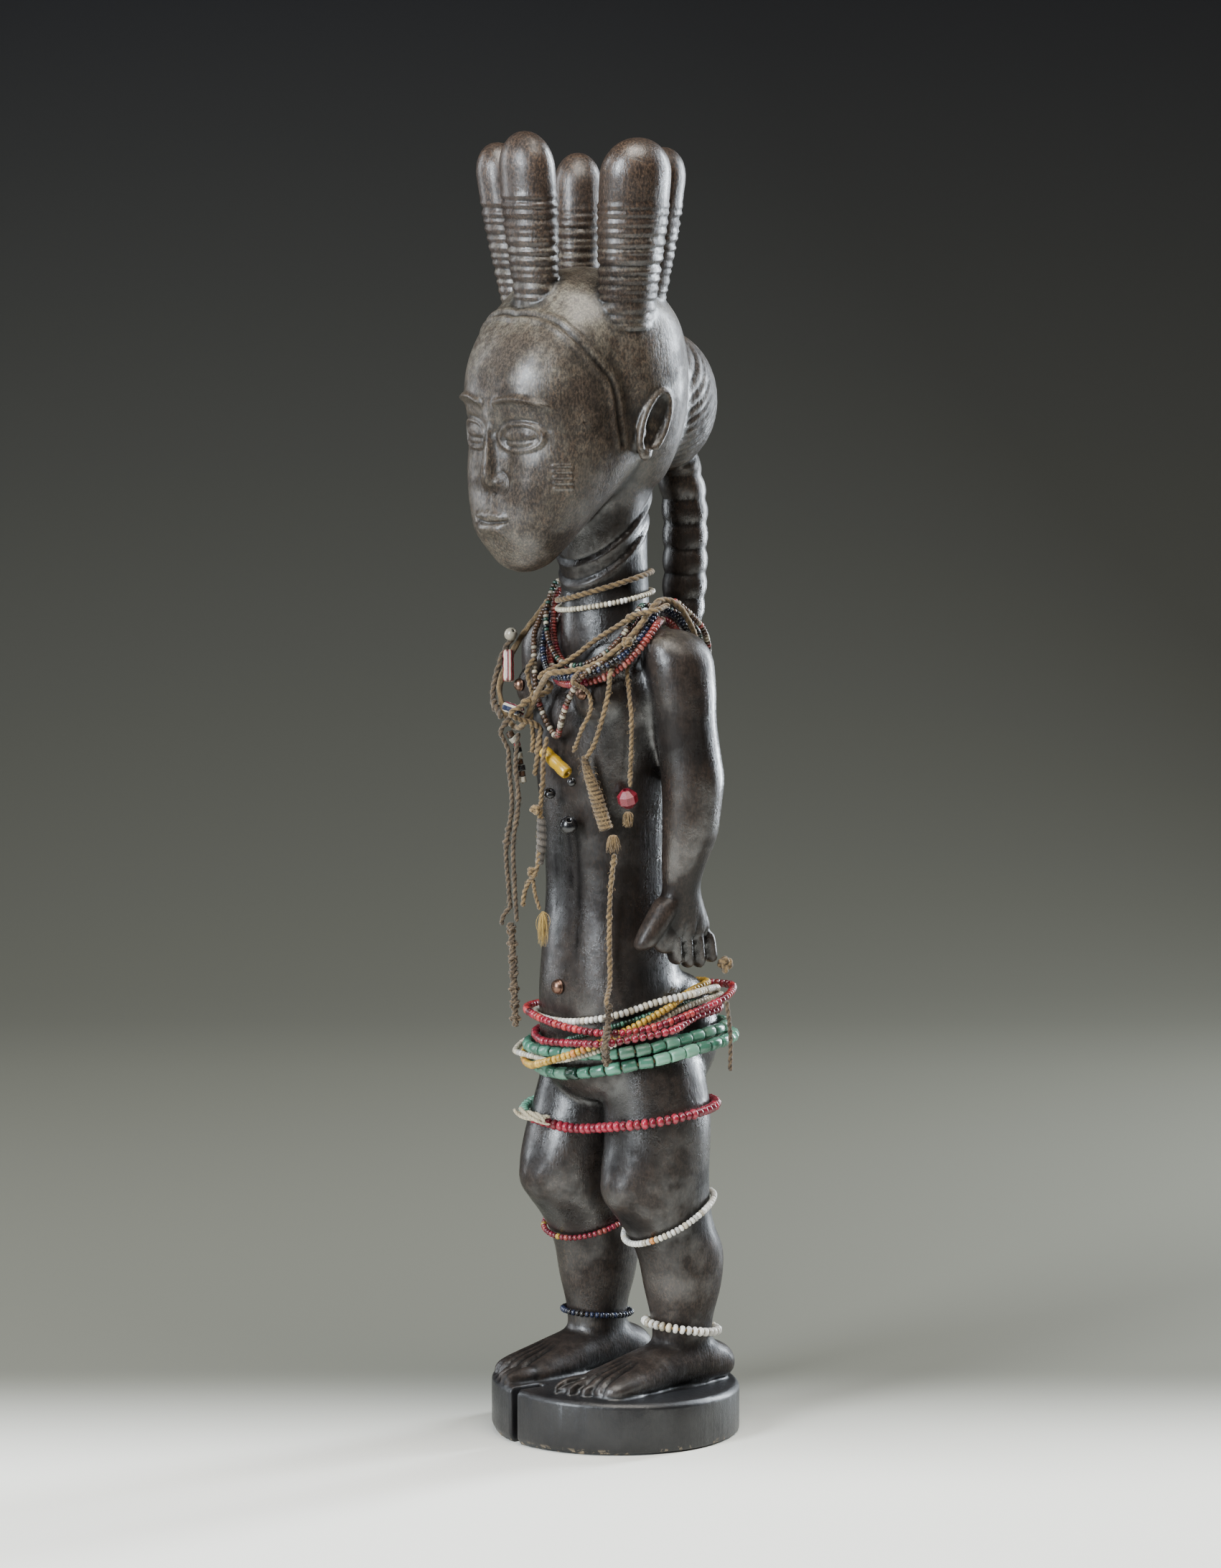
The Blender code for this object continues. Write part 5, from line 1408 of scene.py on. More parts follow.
CORDS = {
    "hanging_cord_left": (0.0019, [(22, -16, 294), (24, -21, 288), (27, -27.5, 274), (23.5, -29, 262),
                                   (19.5, -28.5, 255.5)]),
    "hanging_cord_bead": (0.0017, [(25.5, -14.5, 294), (28, -18, 286), (31.5, -19, 270), (29.5, -17.5, 256),
                                   (27.5, -16.5, 244.6)]),
    "hanging_cord_short": (0.0016, [(14.5, -25, 287), (19, -28, 281), (23, -31, 273), (21, -33.5, 266),
                                    (15, -32.5, 257)]),
    "hanging_cord_long": (0.0019, [(22.6, -19.5, 219.5), (21.4, -20.5, 205), (21.2, -20.8, 190),
                                   (22.4, -21.5, 176), (25, -24, 166)]),
    "chest_cord_outer": (0.0018, [(-16, -36, 268), (-17.2, -36.5, 251), (-15.4, -36.5, 235),
                                  (-18.8, -36.5, 219), (-18, -36, 204), (-17.2, -35.5, 190.5)]),
    "chest_cord_inner": (0.0018, [(-11, -37, 262), (-12.6, -37, 250), (-11, -37, 237), (-14, -37, 221),
                                  (-14, -36.5, 206), (-13.6, -35.8, 192)]),
    "chest_cord_side": (0.0022, [(-26, -20.5, 295), (-28, -25, 287), (-29, -29.5, 279.5), (-26, -33, 271.5),
                                 (-20.5, -37, 266.5)]),
    "chest_cord_cross": (0.0020, [(23, 1, 309.4), (26, -10, 307.4), (21, -16, 302.4), (14, -20, 297.4),
                                  (8, -24.5, 291.5), (2, -27, 285), (-1.6, -29, 279.2), (-4.4, -30, 272.6),
                                  (-6, -30.5, 264.4), (-6.8, -31, 255.4), (-9, -31, 246)]),
    "chest_cord_back": (0.0018, [(-9.6, -28, 289), (-10.6, -30, 280), (-11, -31, 270.6), (-9.4, -31.5, 261.6),
                                 (-8, -32, 254.6)]),
    "middle_cord": (0.0018, [(5.5, -37, 262), (3.4, -37, 254), (2.4, -36.5, 246), (0.8, -36, 238.4),
                             (0.4, -36, 232), (0.0, -36, 223), (-1.2, -36, 214.5), (-3.6, -36, 210),
                             (-6.4, -35.5, 208), (-9.2, -35.6, 203.5), (-10.4, -35.6, 198)]),
}
SOILED_CORDS = ("chest_cord_outer", "chest_cord_inner", "chest_cord_side")
CORD_NODES = {"middle_cord": ("middle_cord_upper", "middle_cord_branch")}
MIDDLE_TAIL = (0.0015, [(-4.6, -35.4, 208.6), (-4.4, -34.6, 203), (-3.2, -33.4, 197.4)])
WRAPS = {
    "cord_bundle_left": (0.0055, [(18.2, -29.8, 256), (18.6, -29.5, 252.2), (20.4, -26, 240),
                                  (22.2, -23, 228.6)]),
    "cord_bundle_waist": (0.0040, [(27, -26, 166), (27, -26, 162.5), (27.2, -26.5, 152),
                                   (26.6, -26.8, 142.6)]),
    "chest_cord_knot": (0.0042, [(-16.9, -36, 191.5), (-16.4, -36, 187.4), (-15.6, -36, 178), (-15, -36, 167),
                                 (-14.2, -36, 153)]),
    "chest_bead_cluster": (0.0034, [(-16, -34, 262), (-15.4, -34, 256), (-13.6, -34, 250), (-12, -34, 243)]),
    "cloth_wrap": (0.0037, [(0.4, -35.6, 232), (0.0, -35.2, 223), (-1.4, -35, 214.5)]),
    "thigh_fibre_bow": (0.0040, [(-22, -19, 119), (-15, -24, 118.4), (-9, -26.4, 118.2), (-5, -27.6, 118)]),
    "waist_tie_strip": (0.0018, [(37, 22, 163), (38, 23, 150), (38, 23, 137)]),
}
LUMPS = {
    "shoulder_knot": ((23.4, -14.6, 297.8), 0.0021, 0.0022),
    "bundle_tuft": ((23.2, -20, 223.6), 0.0030, 0.0034),
    "red_pendant_bead": ((27, -17, 240), 0.0040, 0.0038),
    "red_bead_tuft": ((26.4, -16.6, 232.6), 0.0021, 0.0030),
    "black_bead_large": ((9.3, -30, 229.5), 0.0034, 0.0034),
    "black_bead_small": ((13.6, -31.5, 246), 0.0017, 0.0017),
    "black_ring_bead": ((1.4, -32.4, 240.6), 0.0022, 0.0016),
    "middle_knot": ((0.6, -36, 235.2), 0.0022, 0.0022),
    "middle_joint": ((-3.6, -35, 211.8), 0.0021, 0.0021),
    "yellow_tassel": ((-2.4, -32.6, 190), 0.0019, 0.0068),
    "cream_shoulder_bead": ((-27.5, -27, 296), 0.0024, 0.0026),
    "waist_tie_knot": ((31, 22, 176), 0.0030, 0.0036),
}
TUBE_BEADS = {
    "yellow_tube_bead": (0.0048, (-1.4, -33, 256), (10.6, -31.6, 248.6), "ochre_tube"),
    "striped_tube_bead": (0.0040, (-21.5, -33, 291), (-19, -35, 280), "red_stripe"),
    "blue_tube_bead": (0.0038, (-15.6, -37, 271.4), (-7, -36.4, 270), "blue_stripe"),
}


def add_piece(piece, slot, *nodes):
    """A finished piece that rides on the figure and stands for the named solids."""
    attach(piece, "root")
    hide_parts(*nodes)
    return piece


def turned_bead(name, start, end, diameter, look, wear=0.06, sides=32):
    """A long bead with softened rims and a bore, lying from start to end."""
    long = (end - start).length
    radius = diameter / 2
    rows = [(0.34, -0.5), (0.80, -0.5), (0.95, -0.475), (1.0, -0.42)]
    rows += [(1.0 + wear * math.sin(step * 2.1), -0.42 + 0.84 * step / 8) for step in range(1, 8)]
    rows += [(1.0, 0.42), (0.95, 0.475), (0.80, 0.5), (0.34, 0.5)]
    made = lathe(name, [(r * radius, h * long) for r, h in rows], sides)
    turn = (end - start).to_track_quat("Z", "Y").to_matrix().to_4x4()
    set_field(made.data, "around", around_values(made.data))
    made.data.transform(Matrix.Translation((start + end) / 2) @ turn)
    return with_look(made, look)


def around_values(mesh):
    """Each vertex's turn round the bead's own axis, -1 to 1 across its front."""
    points, _ = mesh_arrays(mesh)
    return np.cos(np.arctan2(points[:, 1], points[:, 0]))


def round_bead(name, place, across, up, look, tilt=(0.3, 0.2), facets=0):
    """A large round bead with a bore; facets makes it a cut one with flat sides."""
    rows = []
    sides = facets or 36
    steps = 3 if facets else 14
    for step in range(steps + 1):
        rise = math.radians(-66 + 132 * step / steps)
        rows.append((math.cos(rise) * across, math.sin(rise) * up))
    rows = [(0.28 * across, -0.95 * up), *rows, (0.28 * across, 0.95 * up)]
    made = lathe(name, rows, sides)
    turn = Matrix.Rotation(tilt[0], 4, "X") @ Matrix.Rotation(tilt[1], 4, "Y")
    set_field(made.data, "around", around_values(made.data))
    made.data.transform(Matrix.Translation(place) @ turn)
    made.data.materials.append(look)
    if not facets:
        made.data.shade_smooth()
    return made


def push_clear(tree, laid, points, radius):
    """Moves a run of points outward, away from the body's axis, until it is clear."""
    points = [Vector(point) for point in points]
    axis = Vector((0, at(0, 4, 0).y, 0))
    for _ in range(60):
        needs = [max(0.0, room_wanted(tree, laid, point, radius)) for point in points]
        if max(needs) < 1e-5:
            break
        count = len(points)
        for step in range(count):
            need = max(needs[max(0, step - 1)] * 0.6, needs[step], needs[min(count - 1, step + 1)] * 0.6)
            outward = points[step] - axis
            outward.z = 0.0
            points[step] += outward.normalized() * need
    return points


def tack(name, tree, place, ray, diameter, look):
    """A domed metal tack with a thin rim, seated on the skin where the ray meets it."""
    hit = tree.ray_cast(place - ray * 0.1, ray)
    outward = (-ray + hit[1]).normalized()
    radius = diameter / 2
    rows = [(0.02, -0.10), (0.55, -0.12), (0.96, -0.10), (1.02, -0.02), (1.02, 0.06), (0.97, 0.13)]
    rows += [(0.93 * math.cos(math.radians(rise)), 0.12 + 0.74 * math.sin(math.radians(rise)))
             for rise in range(4, 87, 6)]
    rows.append((0.02, 0.86))
    made = lathe(name, [(r * radius, h * radius) for r, h in rows], 48)
    turn = outward.to_track_quat("Z", "Y").to_matrix().to_4x4()
    made.data.transform(Matrix.Translation(hit[0] + outward * GAP * 1.6) @ turn)
    return with_look(made, look), hit[0] + outward * GAP


def set_tacks(tree, laid, looks):
    for side, name in ((1, "left_breast_tack"), (-1, "right_breast_tack")):
        ray = Vector((-side * 0.12, 1.0, 0.0)).normalized()
        place = at(side * (BREAST[0] + 1.2), BREAST[1] - 12, BREAST[2] + 1.5)
        made, spot = tack(name + "_dome", tree, place, ray, BREAST_TACK_DIAMETER, looks["copper"])
        add_piece(made, "tack", name)
        remember(laid, [spot], BREAST_TACK_DIAMETER / 2)
    made, spot = tack("navel_tack_dome", tree, at(-1.2, -26, NAVEL_LEVEL), Vector((0, 1, 0)),
                      NAVEL_TACK_DIAMETER, looks["copper"])
    add_piece(made, "tack", "navel_tack")
    remember(laid, [spot], NAVEL_TACK_DIAMETER / 2)


def slot_of(node):
    """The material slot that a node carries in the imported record."""
    for entry in frame["record"]["subparts"]:
        if entry["node"] == node:
            return entry["material_slot"]
    return "fibre"


def lay_strands(tree, laid, looks):
    """Every strand round neck, waist, thighs, knees and ankles."""
    group = stringing_group()
    for number, spec in enumerate(LOOPS):
        points = lay_loop(tree, laid, spec)
        remember(laid, points, spec["bead"] / 2)
        name = spec["name"]
        if spec["make"] is None:
            made = twisted_cord(name + "_laid", points, spec["bead"], looks["fibre"], 2, 2.4, True, 16,
                                fuzz=0.05)
        else:
            made = string_beads(group, name + "_strung", points, spec, looks, 11 + number)
        add_piece(made, slot_of(name), name)


def hang_beads(tree, laid, looks):
    """The long and round beads that hang on the chest."""
    for name, (diameter, start, end, look) in TUBE_BEADS.items():
        run = [at(*start).lerp(at(*end), share / 6) for share in range(7)]
        pushed = push_clear(tree, laid, run, diameter / 2)
        offset = max((after - before for before, after in zip(run, pushed)), key=lambda move: move.length)
        ends = (at(*start) + offset, at(*end) + offset)
        add_piece(turned_bead(name + "_turned", *ends, diameter, looks[look]), slot_of(name), name)
        remember(laid, [ends[0].lerp(ends[1], share / 12) for share in range(13)], diameter / 2)


def clear_route(tree, laid, places, diameter, spacing=CORD_SPACING):
    """A smooth route through places in carving units, pushed clear of what is already there."""
    dense = [Vector(point) for point in smooth_open([at(*place) for place in places], PUSH_SPACING)]
    return smooth_open(push_clear(tree, laid, dense, diameter / 2), spacing)


def hang_wraps(tree, laid, looks):
    """The bound and knotted stretches."""
    made = {}
    for number, (name, (diameter, places)) in enumerate(WRAPS.items()):
        route = clear_route(tree, laid, places, diameter, WRAP_SPACING)
        remember(laid, [Vector(point) for point in route[::3]], diameter / 2)
        if name == "cloth_wrap":
            piece = wrapped_form(name + "_bound", route, diameter, looks["cloth"], 0.0026, 0.22,
                                 lambda s: 0.82 + 0.18 * math.sin(math.pi * s)**0.5)
        elif name == "chest_bead_cluster":
            piece = bead_cluster(name + "_strung", route, diameter, looks)
        elif name == "chest_cord_knot":
            piece = knotted_stretch(name + "_tied", route, diameter, looks["brown_fibre"])
        elif name == "thigh_fibre_bow":
            piece = fibre_bow(name + "_tied", route, diameter, looks["pale_fibre"])
        elif name == "waist_tie_strip":
            piece = twisted_cord(name + "_laid", route, diameter, looks["brown_fibre"], 2, 3.0)
        elif name == "cord_bundle_left":
            bound = wrapped_form(name + "_bound", route, diameter * 0.96, looks["fibre"], 0.00165, 0.22,
                                 lambda s: 0.42 + 0.58 * min(1.0, s / 0.55)**0.8)
            loose = loose_wrapping(name, route, diameter, looks["fibre"], number)
            piece = merged([bound, loose], name + "_bound")
        else:
            piece = knotted_stretch(name + "_tied", route, diameter * 0.9, looks["brown_fibre"])
        made[name] = add_piece(piece, slot_of(name), name)
    return made


def loose_wrapping(name, route, diameter, look, seed):
    """Raw fibres that wander along a bound stretch and stand off it."""
    pieces = [stray_fibres(name + "_hairs", route, diameter, 70, 0.0016, look, seed)]
    noise = np.random.default_rng(seed + 40)
    route = np.asarray(route)
    for _ in range(9):
        turn, out = noise.uniform(0, 2 * math.pi), diameter * 0.43
        winding = noise.uniform(2.0, 9.0)
        path = []
        for step in range(int(0.12 * len(route)), len(route), 4):
            share = step / len(route)
            angle = turn + winding * share
            near = min(1.0, 0.45 + share)
            path.append(route[step] + np.array([math.cos(angle), math.sin(angle), 0.0]) * out * near)
        pieces.append(twisted_cord(name, path, diameter * 0.10, look, 2, 3.0, False, 6))
    return merged(pieces, name + "_wrapping")


def knotted_stretch(name, route, diameter, look):
    """A soiled tuft of cord tied over and over: a core, loops round it and loose ends."""
    core = twisted_cord(name, route, diameter * 0.62, look, 3, 2.0, False, 14, lumpy(8, 7, 0.35), 0.06)
    pieces = [core, stray_fibres(name + "_hairs", route, diameter * 0.7, 60, 0.0015, look, 21)]
    route = np.asarray(route)
    count = 7
    for knot in range(count):
        spot = Vector(route[int((knot + 0.5) / count * (len(route) - 1))])
        across, up, thick = (diameter * part for part in (0.52, 0.50, 0.15))
        pieces.append(knot_form(name, spot, across, up, thick, look, knot * 1.3))
    return merged(pieces, name)


def bead_cluster(name, route, diameter, looks):
    """A short open string of mixed small beads on its thread."""
    pieces = [twisted_cord(name, route, diameter * 0.22, looks["fibre"], 2, 3.0, False, 8)]
    route = np.asarray(route)
    length = run_length(route)
    order = ("brown_white", "cream_round", "orange_round", "dark_mixed", "cream_round", "brown_white",
             "black_glass")
    count = int(length / (diameter * 0.62))
    for number in range(count):
        spot = int((number + 0.5) / count * (len(route) - 2)) + 1
        ahead = Vector(route[min(len(route) - 1, spot + 3)] - route[max(0, spot - 3)])
        middle = Vector(route[spot])
        half = ahead.normalized() * diameter * 0.29
        width = diameter * (0.84 + 0.14 * math.sin(number * 2.3))
        look = looks[order[number % len(order)]]
        pieces.append(turned_bead(name, middle - half, middle + half, width, look, 0.03, 18))
    return merged(pieces, name)


def fibre_bow(name, route, diameter, look):
    """Raw pale fibres bound along the strand, their ends fraying."""
    pieces = []
    noise = np.random.default_rng(5)
    route = np.asarray(route)
    for _ in range(16):
        turn, out = noise.uniform(0, 2 * math.pi), math.sqrt(noise.uniform(0.1, 1)) * diameter * 0.40
        first, last = int(noise.uniform(0, 0.2) * len(route)), int(noise.uniform(0.75, 1) * len(route))
        path = []
        for step in range(first, last, 3):
            angle = turn + 5.5 * step / len(route)
            around = np.array([0.4 * math.cos(angle), 0.7 * math.cos(angle), math.sin(angle)])
            path.append(route[step] + around * out)
        pieces.append(twisted_cord(name, path, diameter * 0.26, look, 2, 3.0, False, 8))
    return merged(pieces, name)


def hang_lumps(tree, laid, looks):
    """Knots, tufts and single beads."""
    made = {}
    for number, (name, (place, across, up)) in enumerate(LUMPS.items()):
        size = max(across, up) if name != "yellow_tassel" else across
        spot = push_clear(tree, laid, [at(*place)], size)[0]
        remember(laid, [spot + Vector((0, 0, up * share)) for share in (-0.5, 0, 0.5)], size * 0.8)
        down = Vector((0, 0, -1))
        if name == "red_pendant_bead":
            piece = round_bead(name + "_cut", spot, across, up, looks["red_glass"], (0.35, 0.1), 8)
        elif name == "cream_shoulder_bead":
            piece = round_bead(name + "_turned", spot, across, up, looks["cream_round"], (0.2, 0.9))
        elif name.startswith("black"):
            piece = round_bead(name + "_turned", spot, across, up, looks["black_glass"], (0.5, 0.6))
        elif name == "yellow_tassel":
            head = spot + Vector((0, 0, up))
            piece = fibre_spray(name + "_fibres", head, spot + down * up, 80, across * 0.22, across * 1.10,
                                0.00013, looks["gold_fibre"], 3, 0.22)
        elif "tuft" in name:
            head = spot + Vector((0, 0, up))
            piece = fibre_spray(name + "_fibres", head, spot + down * up, 70, across * 0.40, across * 1.0,
                                0.00017, looks["fibre"], number, 0.30)
        else:
            piece = knot_form(name + "_tied", spot, across, up, across * 0.42, looks["fibre"], number * 0.7)
        made[name] = add_piece(piece, slot_of(name), name)
    return made


def hang_cords(tree, bare, laid, looks):
    """The free cords, each with lumps and hairs set by its length, and the pieces on the middle one.
    Bare is what was laid before the bound stretches, which the middle cord runs through."""
    ran = []
    for number, (name, (diameter, places)) in enumerate(CORDS.items()):
        others = laid + ran
        if name == "middle_cord":
            others = bare + ran
        route = clear_route(tree, others, places, diameter)
        remember(ran, [Vector(point) for point in route[::3]], diameter / 2)
        nodes = CORD_NODES.get(name, (name,))
        look = looks["brown_fibre" if name in SOILED_CORDS else "fibre"]
        length = run_length(route)
        piece = twisted_cord(name + "_laid", route, diameter, look, 2, 2.6, False, 14,
                             lumpy(number + 3, int(length / 0.011)), 0.06)
        hairs = stray_fibres(name + "_hairs", route, diameter, int(length / 0.0011), 0.0013, look, number)
        piece = merged([piece, hairs], name + "_laid")
        add_piece(piece, slot_of(nodes[0]), *nodes)
        path = [tuple(point) for point in route[::4]]
        path[-1] = tuple(route[-1])
    route = clear_route(tree, bare + ran[:-1], MIDDLE_TAIL[1], MIDDLE_TAIL[0])
    add_piece(twisted_cord("middle_cord_tail_laid", route, MIDDLE_TAIL[0], looks["fibre"], 2, 2.6, fuzz=0.05),
              slot_of("middle_cord_tail"), "middle_cord_tail")


# Materials

def new_look(name):
    """A new material, its node tree, its shader and the place on the object."""
    look = bpy.data.materials.new(name)
    look.use_nodes = True
    tree = look.node_tree
    return look, tree, tree.nodes["Principled BSDF"], value_node(tree, "ShaderNodeTexCoord").outputs["Object"]


def feed(tree, shader, inputs):
    """Gives the shader's inputs their values, each a socket or a plain value."""
    for label, value in inputs.items():
        if isinstance(value, float):
            shader.inputs[label].default_value = value
        else:
            tree.links.new(value, shader.inputs[label])


def mottle_group():
    """Patchy masks from noise at two sizes: Large, Small and their Mix, all 0 to 1."""
    group = bpy.data.node_groups.new("mottle", "ShaderNodeTree")
    group.interface.new_socket("Place", in_out="INPUT", socket_type="NodeSocketVector")
    group.interface.new_socket("Large Scale", in_out="INPUT", socket_type="NodeSocketFloat")
    group.interface.new_socket("Small Scale", in_out="INPUT", socket_type="NodeSocketFloat")
    for label in ("Large", "Small", "Mixed"):
        group.interface.new_socket(label, in_out="OUTPUT", socket_type="NodeSocketFloat")
    start = group.nodes.new("NodeGroupInput")
    end = group.nodes.new("NodeGroupOutput")
    large = value_node(group, "ShaderNodeTexNoise", {"Detail": 4.0, "Roughness": 0.6})
    small = value_node(group, "ShaderNodeTexNoise", {"Detail": 5.0, "Roughness": 0.65})
    spread = value_node(group, "ShaderNodeMapRange", {"From Min": 0.36, "From Max": 0.64})
    sharp = value_node(group, "ShaderNodeMapRange", {"From Min": 0.40, "From Max": 0.62})
    mixed = value_node(group, "ShaderNodeMath", operation="MULTIPLY")
    link_all(group, (
        (start, "Place", large, "Vector"), (start, "Place", small, "Vector"),
        (start, "Large Scale", large, "Scale"), (start, "Small Scale", small, "Scale"),
        (large, "Fac", spread, "Value"), (small, "Fac", sharp, "Value"), (spread, "Result", mixed, 0),
        (sharp, "Result", mixed, 1), (spread, "Result", end, "Large"), (sharp, "Result", end, "Small"),
        (mixed, "Value", end, "Mixed")))
    return group


def grouped(tree, group, vector, large, small):
    """The mottle group's three masks, large patches, small ones and both, at two scales."""
    made = tree.nodes.new("ShaderNodeGroup")
    made.node_tree = group
    made.inputs["Large Scale"].default_value = large
    made.inputs["Small Scale"].default_value = small
    tree.links.new(vector, made.inputs["Place"])
    return [made.outputs[label] for label in ("Large", "Small", "Mixed")]


def field(tree, name):
    """A value painted on the mesh."""
    return value_node(tree, "ShaderNodeAttribute", attribute_name=name).outputs["Fac"]


def blend_colour(tree, share, first, second):
    """A colour between two, each a colour socket or a plain colour, by a mask."""
    made = value_node(tree, "ShaderNodeMix", data_type="RGBA")
    for socket, value in ((made.inputs[6], first), (made.inputs[7], second)):
        if isinstance(value, tuple):
            socket.default_value = (*value, 1.0)
        else:
            tree.links.new(value, socket)
    tree.links.new(share, made.inputs[0])
    return made.outputs[2]


def worked_out(tree, operation, *values):
    """A value worked out from others, each a socket or a plain number."""
    made = value_node(tree, "ShaderNodeMath", operation=operation)
    for socket, value in zip(made.inputs, values):
        if isinstance(value, float):
            socket.default_value = value
        else:
            tree.links.new(value, socket)
    return made.outputs[0]


def scaled(tree, value, factor, offset=0.0):
    return worked_out(tree, "MULTIPLY_ADD", value, factor, offset)


def product(tree, first, second):
    return worked_out(tree, "MULTIPLY", first, second)


def added(tree, first, second):
    return worked_out(tree, "ADD", first, second)


def bumped(tree, height, strength, distance, under=None):
    made = value_node(tree, "ShaderNodeBump", {"Strength": strength, "Distance": distance})
    tree.links.new(height, made.inputs["Height"])
    if under is not None:
        tree.links.new(under, made.inputs["Normal"])
    return made.outputs["Normal"]


def noise_at(tree, vector, scale, detail=3.0, roughness=0.55):
    made = value_node(tree, "ShaderNodeTexNoise", {"Scale": scale, "Detail": detail, "Roughness": roughness})
    tree.links.new(vector, made.inputs["Vector"])
    return made.outputs["Fac"]


def stretched(tree, vector, factors):
    made = value_node(tree, "ShaderNodeVectorMath", operation="MULTIPLY")
    tree.links.new(vector, made.inputs[0])
    made.inputs[1].default_value = factors
    return made.outputs[0]


def ranged(tree, value, low, high, to_low=0.0, to_high=1.0):
    made = value_node(tree, "ShaderNodeMapRange", {"From Min": low, "From Max": high, "To Min": to_low,
                                                   "To Max": to_high})
    tree.links.new(value, made.inputs["Value"])
    return made.outputs["Result"]


def wood_look(mottle):
    """Oiled dark wood: near black and satin on the body, brown, dull and speckled on the head, with painted
    shade in its hollows.
    """
    look, tree, shader, place = new_look("oiled_dark_wood")
    along = stretched(tree, place, (1.0, 1.0, 0.22))
    large, small, mixed = grouped(tree, mottle, place, 46.0, 300.0)
    fine = noise_at(tree, stretched(tree, place, (1.0, 1.0, 0.6)), 1300.0, 4.0, 0.7)
    specks = ranged(tree, fine, 0.42, 0.60)
    grain = noise_at(tree, stretched(tree, place, (1.0, 1.0, 0.10)), 900.0, 3.0, 0.6)
    streaks = ranged(tree, noise_at(tree, along, 210.0, 4.0, 0.65), 0.38, 0.66)
    dark = blend_colour(tree, streaks, (0.0034, 0.0031, 0.0034), (0.0105, 0.0080, 0.0070))
    brown = blend_colour(tree, specks, (0.022, 0.0130, 0.0088), (0.118, 0.074, 0.047))
    worn_brown = blend_colour(tree, scaled(tree, streaks, 0.8), brown, (0.030, 0.019, 0.0135))
    share = product(tree, scaled(tree, field(tree, "warm"), 0.98, 0.02),
                    ranged(tree, large, 0.0, 1.0, 0.50, 1.0))
    warmed = blend_colour(tree, share, dark, worn_brown)
    rub = product(tree, field(tree, "worn"), ranged(tree, small, 0.0, 1.0, 0.15, 0.50))
    rubbed = blend_colour(tree, rub, warmed, (0.064, 0.046, 0.036))
    settled = ranged(tree, mixed, 0.0, 0.5, 0.25, 0.90)
    dust_share = product(tree, field(tree, "dust"), settled)
    dusty = blend_colour(tree, dust_share, rubbed, (0.165, 0.146, 0.108))
    speckled = blend_colour(tree, scaled(tree, specks, -0.60, 0.60), dusty, (0.008, 0.0064, 0.0056))
    # Painted shade: the hollows darkened towards near black
    deep = blend_colour(tree, scaled(tree, field(tree, "hollow_shade"), 0.80), speckled, (0.0045, 0.0038, 0.0035))
    blackened = blend_colour(tree, scaled(tree, field(tree, "base"), 0.85), deep, (0.0050, 0.0054, 0.0066))
    chipped = ranged(tree, noise_at(tree, place, 300.0, 4.0, 0.65), 0.56, 0.61)
    height = value_node(tree, "ShaderNodeSeparateXYZ")
    tree.links.new(place, height.inputs[0])
    bare = product(tree, ranged(tree, height.outputs["Z"], 0.0026, 0.0010), chipped)
    chips = blend_colour(tree, bare, blackened, (0.215, 0.165, 0.110))
    stained = blend_colour(tree, scaled(tree, field(tree, "stain"), 0.85), chips, (0.0030, 0.0027, 0.0028))
    matte = field(tree, "matte")
    clean = scaled(tree, field(tree, "stain"), -0.85, 1.0)
    off_base = scaled(tree, field(tree, "base"), -0.80, 1.0)
    uneven = added(tree, product(tree, large, off_base),
                   scaled(tree, field(tree, "base"), 0.36))
    polish = ranged(tree, uneven, 0.15, 0.85, 0.28, 1.30)
    satin = ranged(tree, uneven, 0.15, 0.85, 0.38, 0.20)
    speck_rough = added(tree, satin, scaled(tree, specks, -0.09, 0.05))
    duller = added(tree, speck_rough, scaled(tree, matte, 0.16))
    dull = added(tree, duller, scaled(tree, dust_share, 0.20))
    gloss = product(tree, clean, polish)
    tooling = value_node(tree, "ShaderNodeTexVoronoi", {"Scale": 130.0, "Smoothness": 0.8},
                         feature="SMOOTH_F1")
    tree.links.new(stretched(tree, place, (1.0, 1.0, 0.45)), tooling.inputs["Vector"])
    facets = bumped(tree, tooling.outputs["Distance"], 0.22, 0.0009)
    dents = bumped(tree, noise_at(tree, place, 300.0, 4.0, 0.55), 0.30, 0.00042, facets)
    fibres = bumped(tree, grain, 0.48, 0.00022, dents)
    feed(tree, shader, {"Base Color": stained, "Roughness": added(tree, dull, scaled(tree, bare, 0.4)),
                        "Specular IOR Level": product(tree, gloss, scaled(tree, matte, -0.26, 0.66)),
                        "Coat Weight": product(tree, gloss, scaled(tree, matte, -0.26, 0.34)),
                        "Coat Roughness": 0.22, "Coat IOR": 1.50,
                        "Normal": bumped(tree, specks, 0.30, 0.00012, fibres)})
    return look


def copper_look(mottle):
    look, tree, shader, place = new_look("worn_copper")
    large, _, mixed = grouped(tree, mottle, place, 700.0, 2600.0)
    bright = blend_colour(tree, large, (0.30, 0.175, 0.125), (0.17, 0.098, 0.070))
    aged = blend_colour(tree, scaled(tree, mixed, 0.7), bright, (0.040, 0.029, 0.024))
    feed(tree, shader, {"Base Color": aged, "Metallic": 1.0,
                        "Roughness": ranged(tree, mixed, 0.0, 0.7, 0.28, 0.55),
                        "Normal": bumped(tree, noise_at(tree, place, 2200.0), 0.25, 0.00012)})
    return look


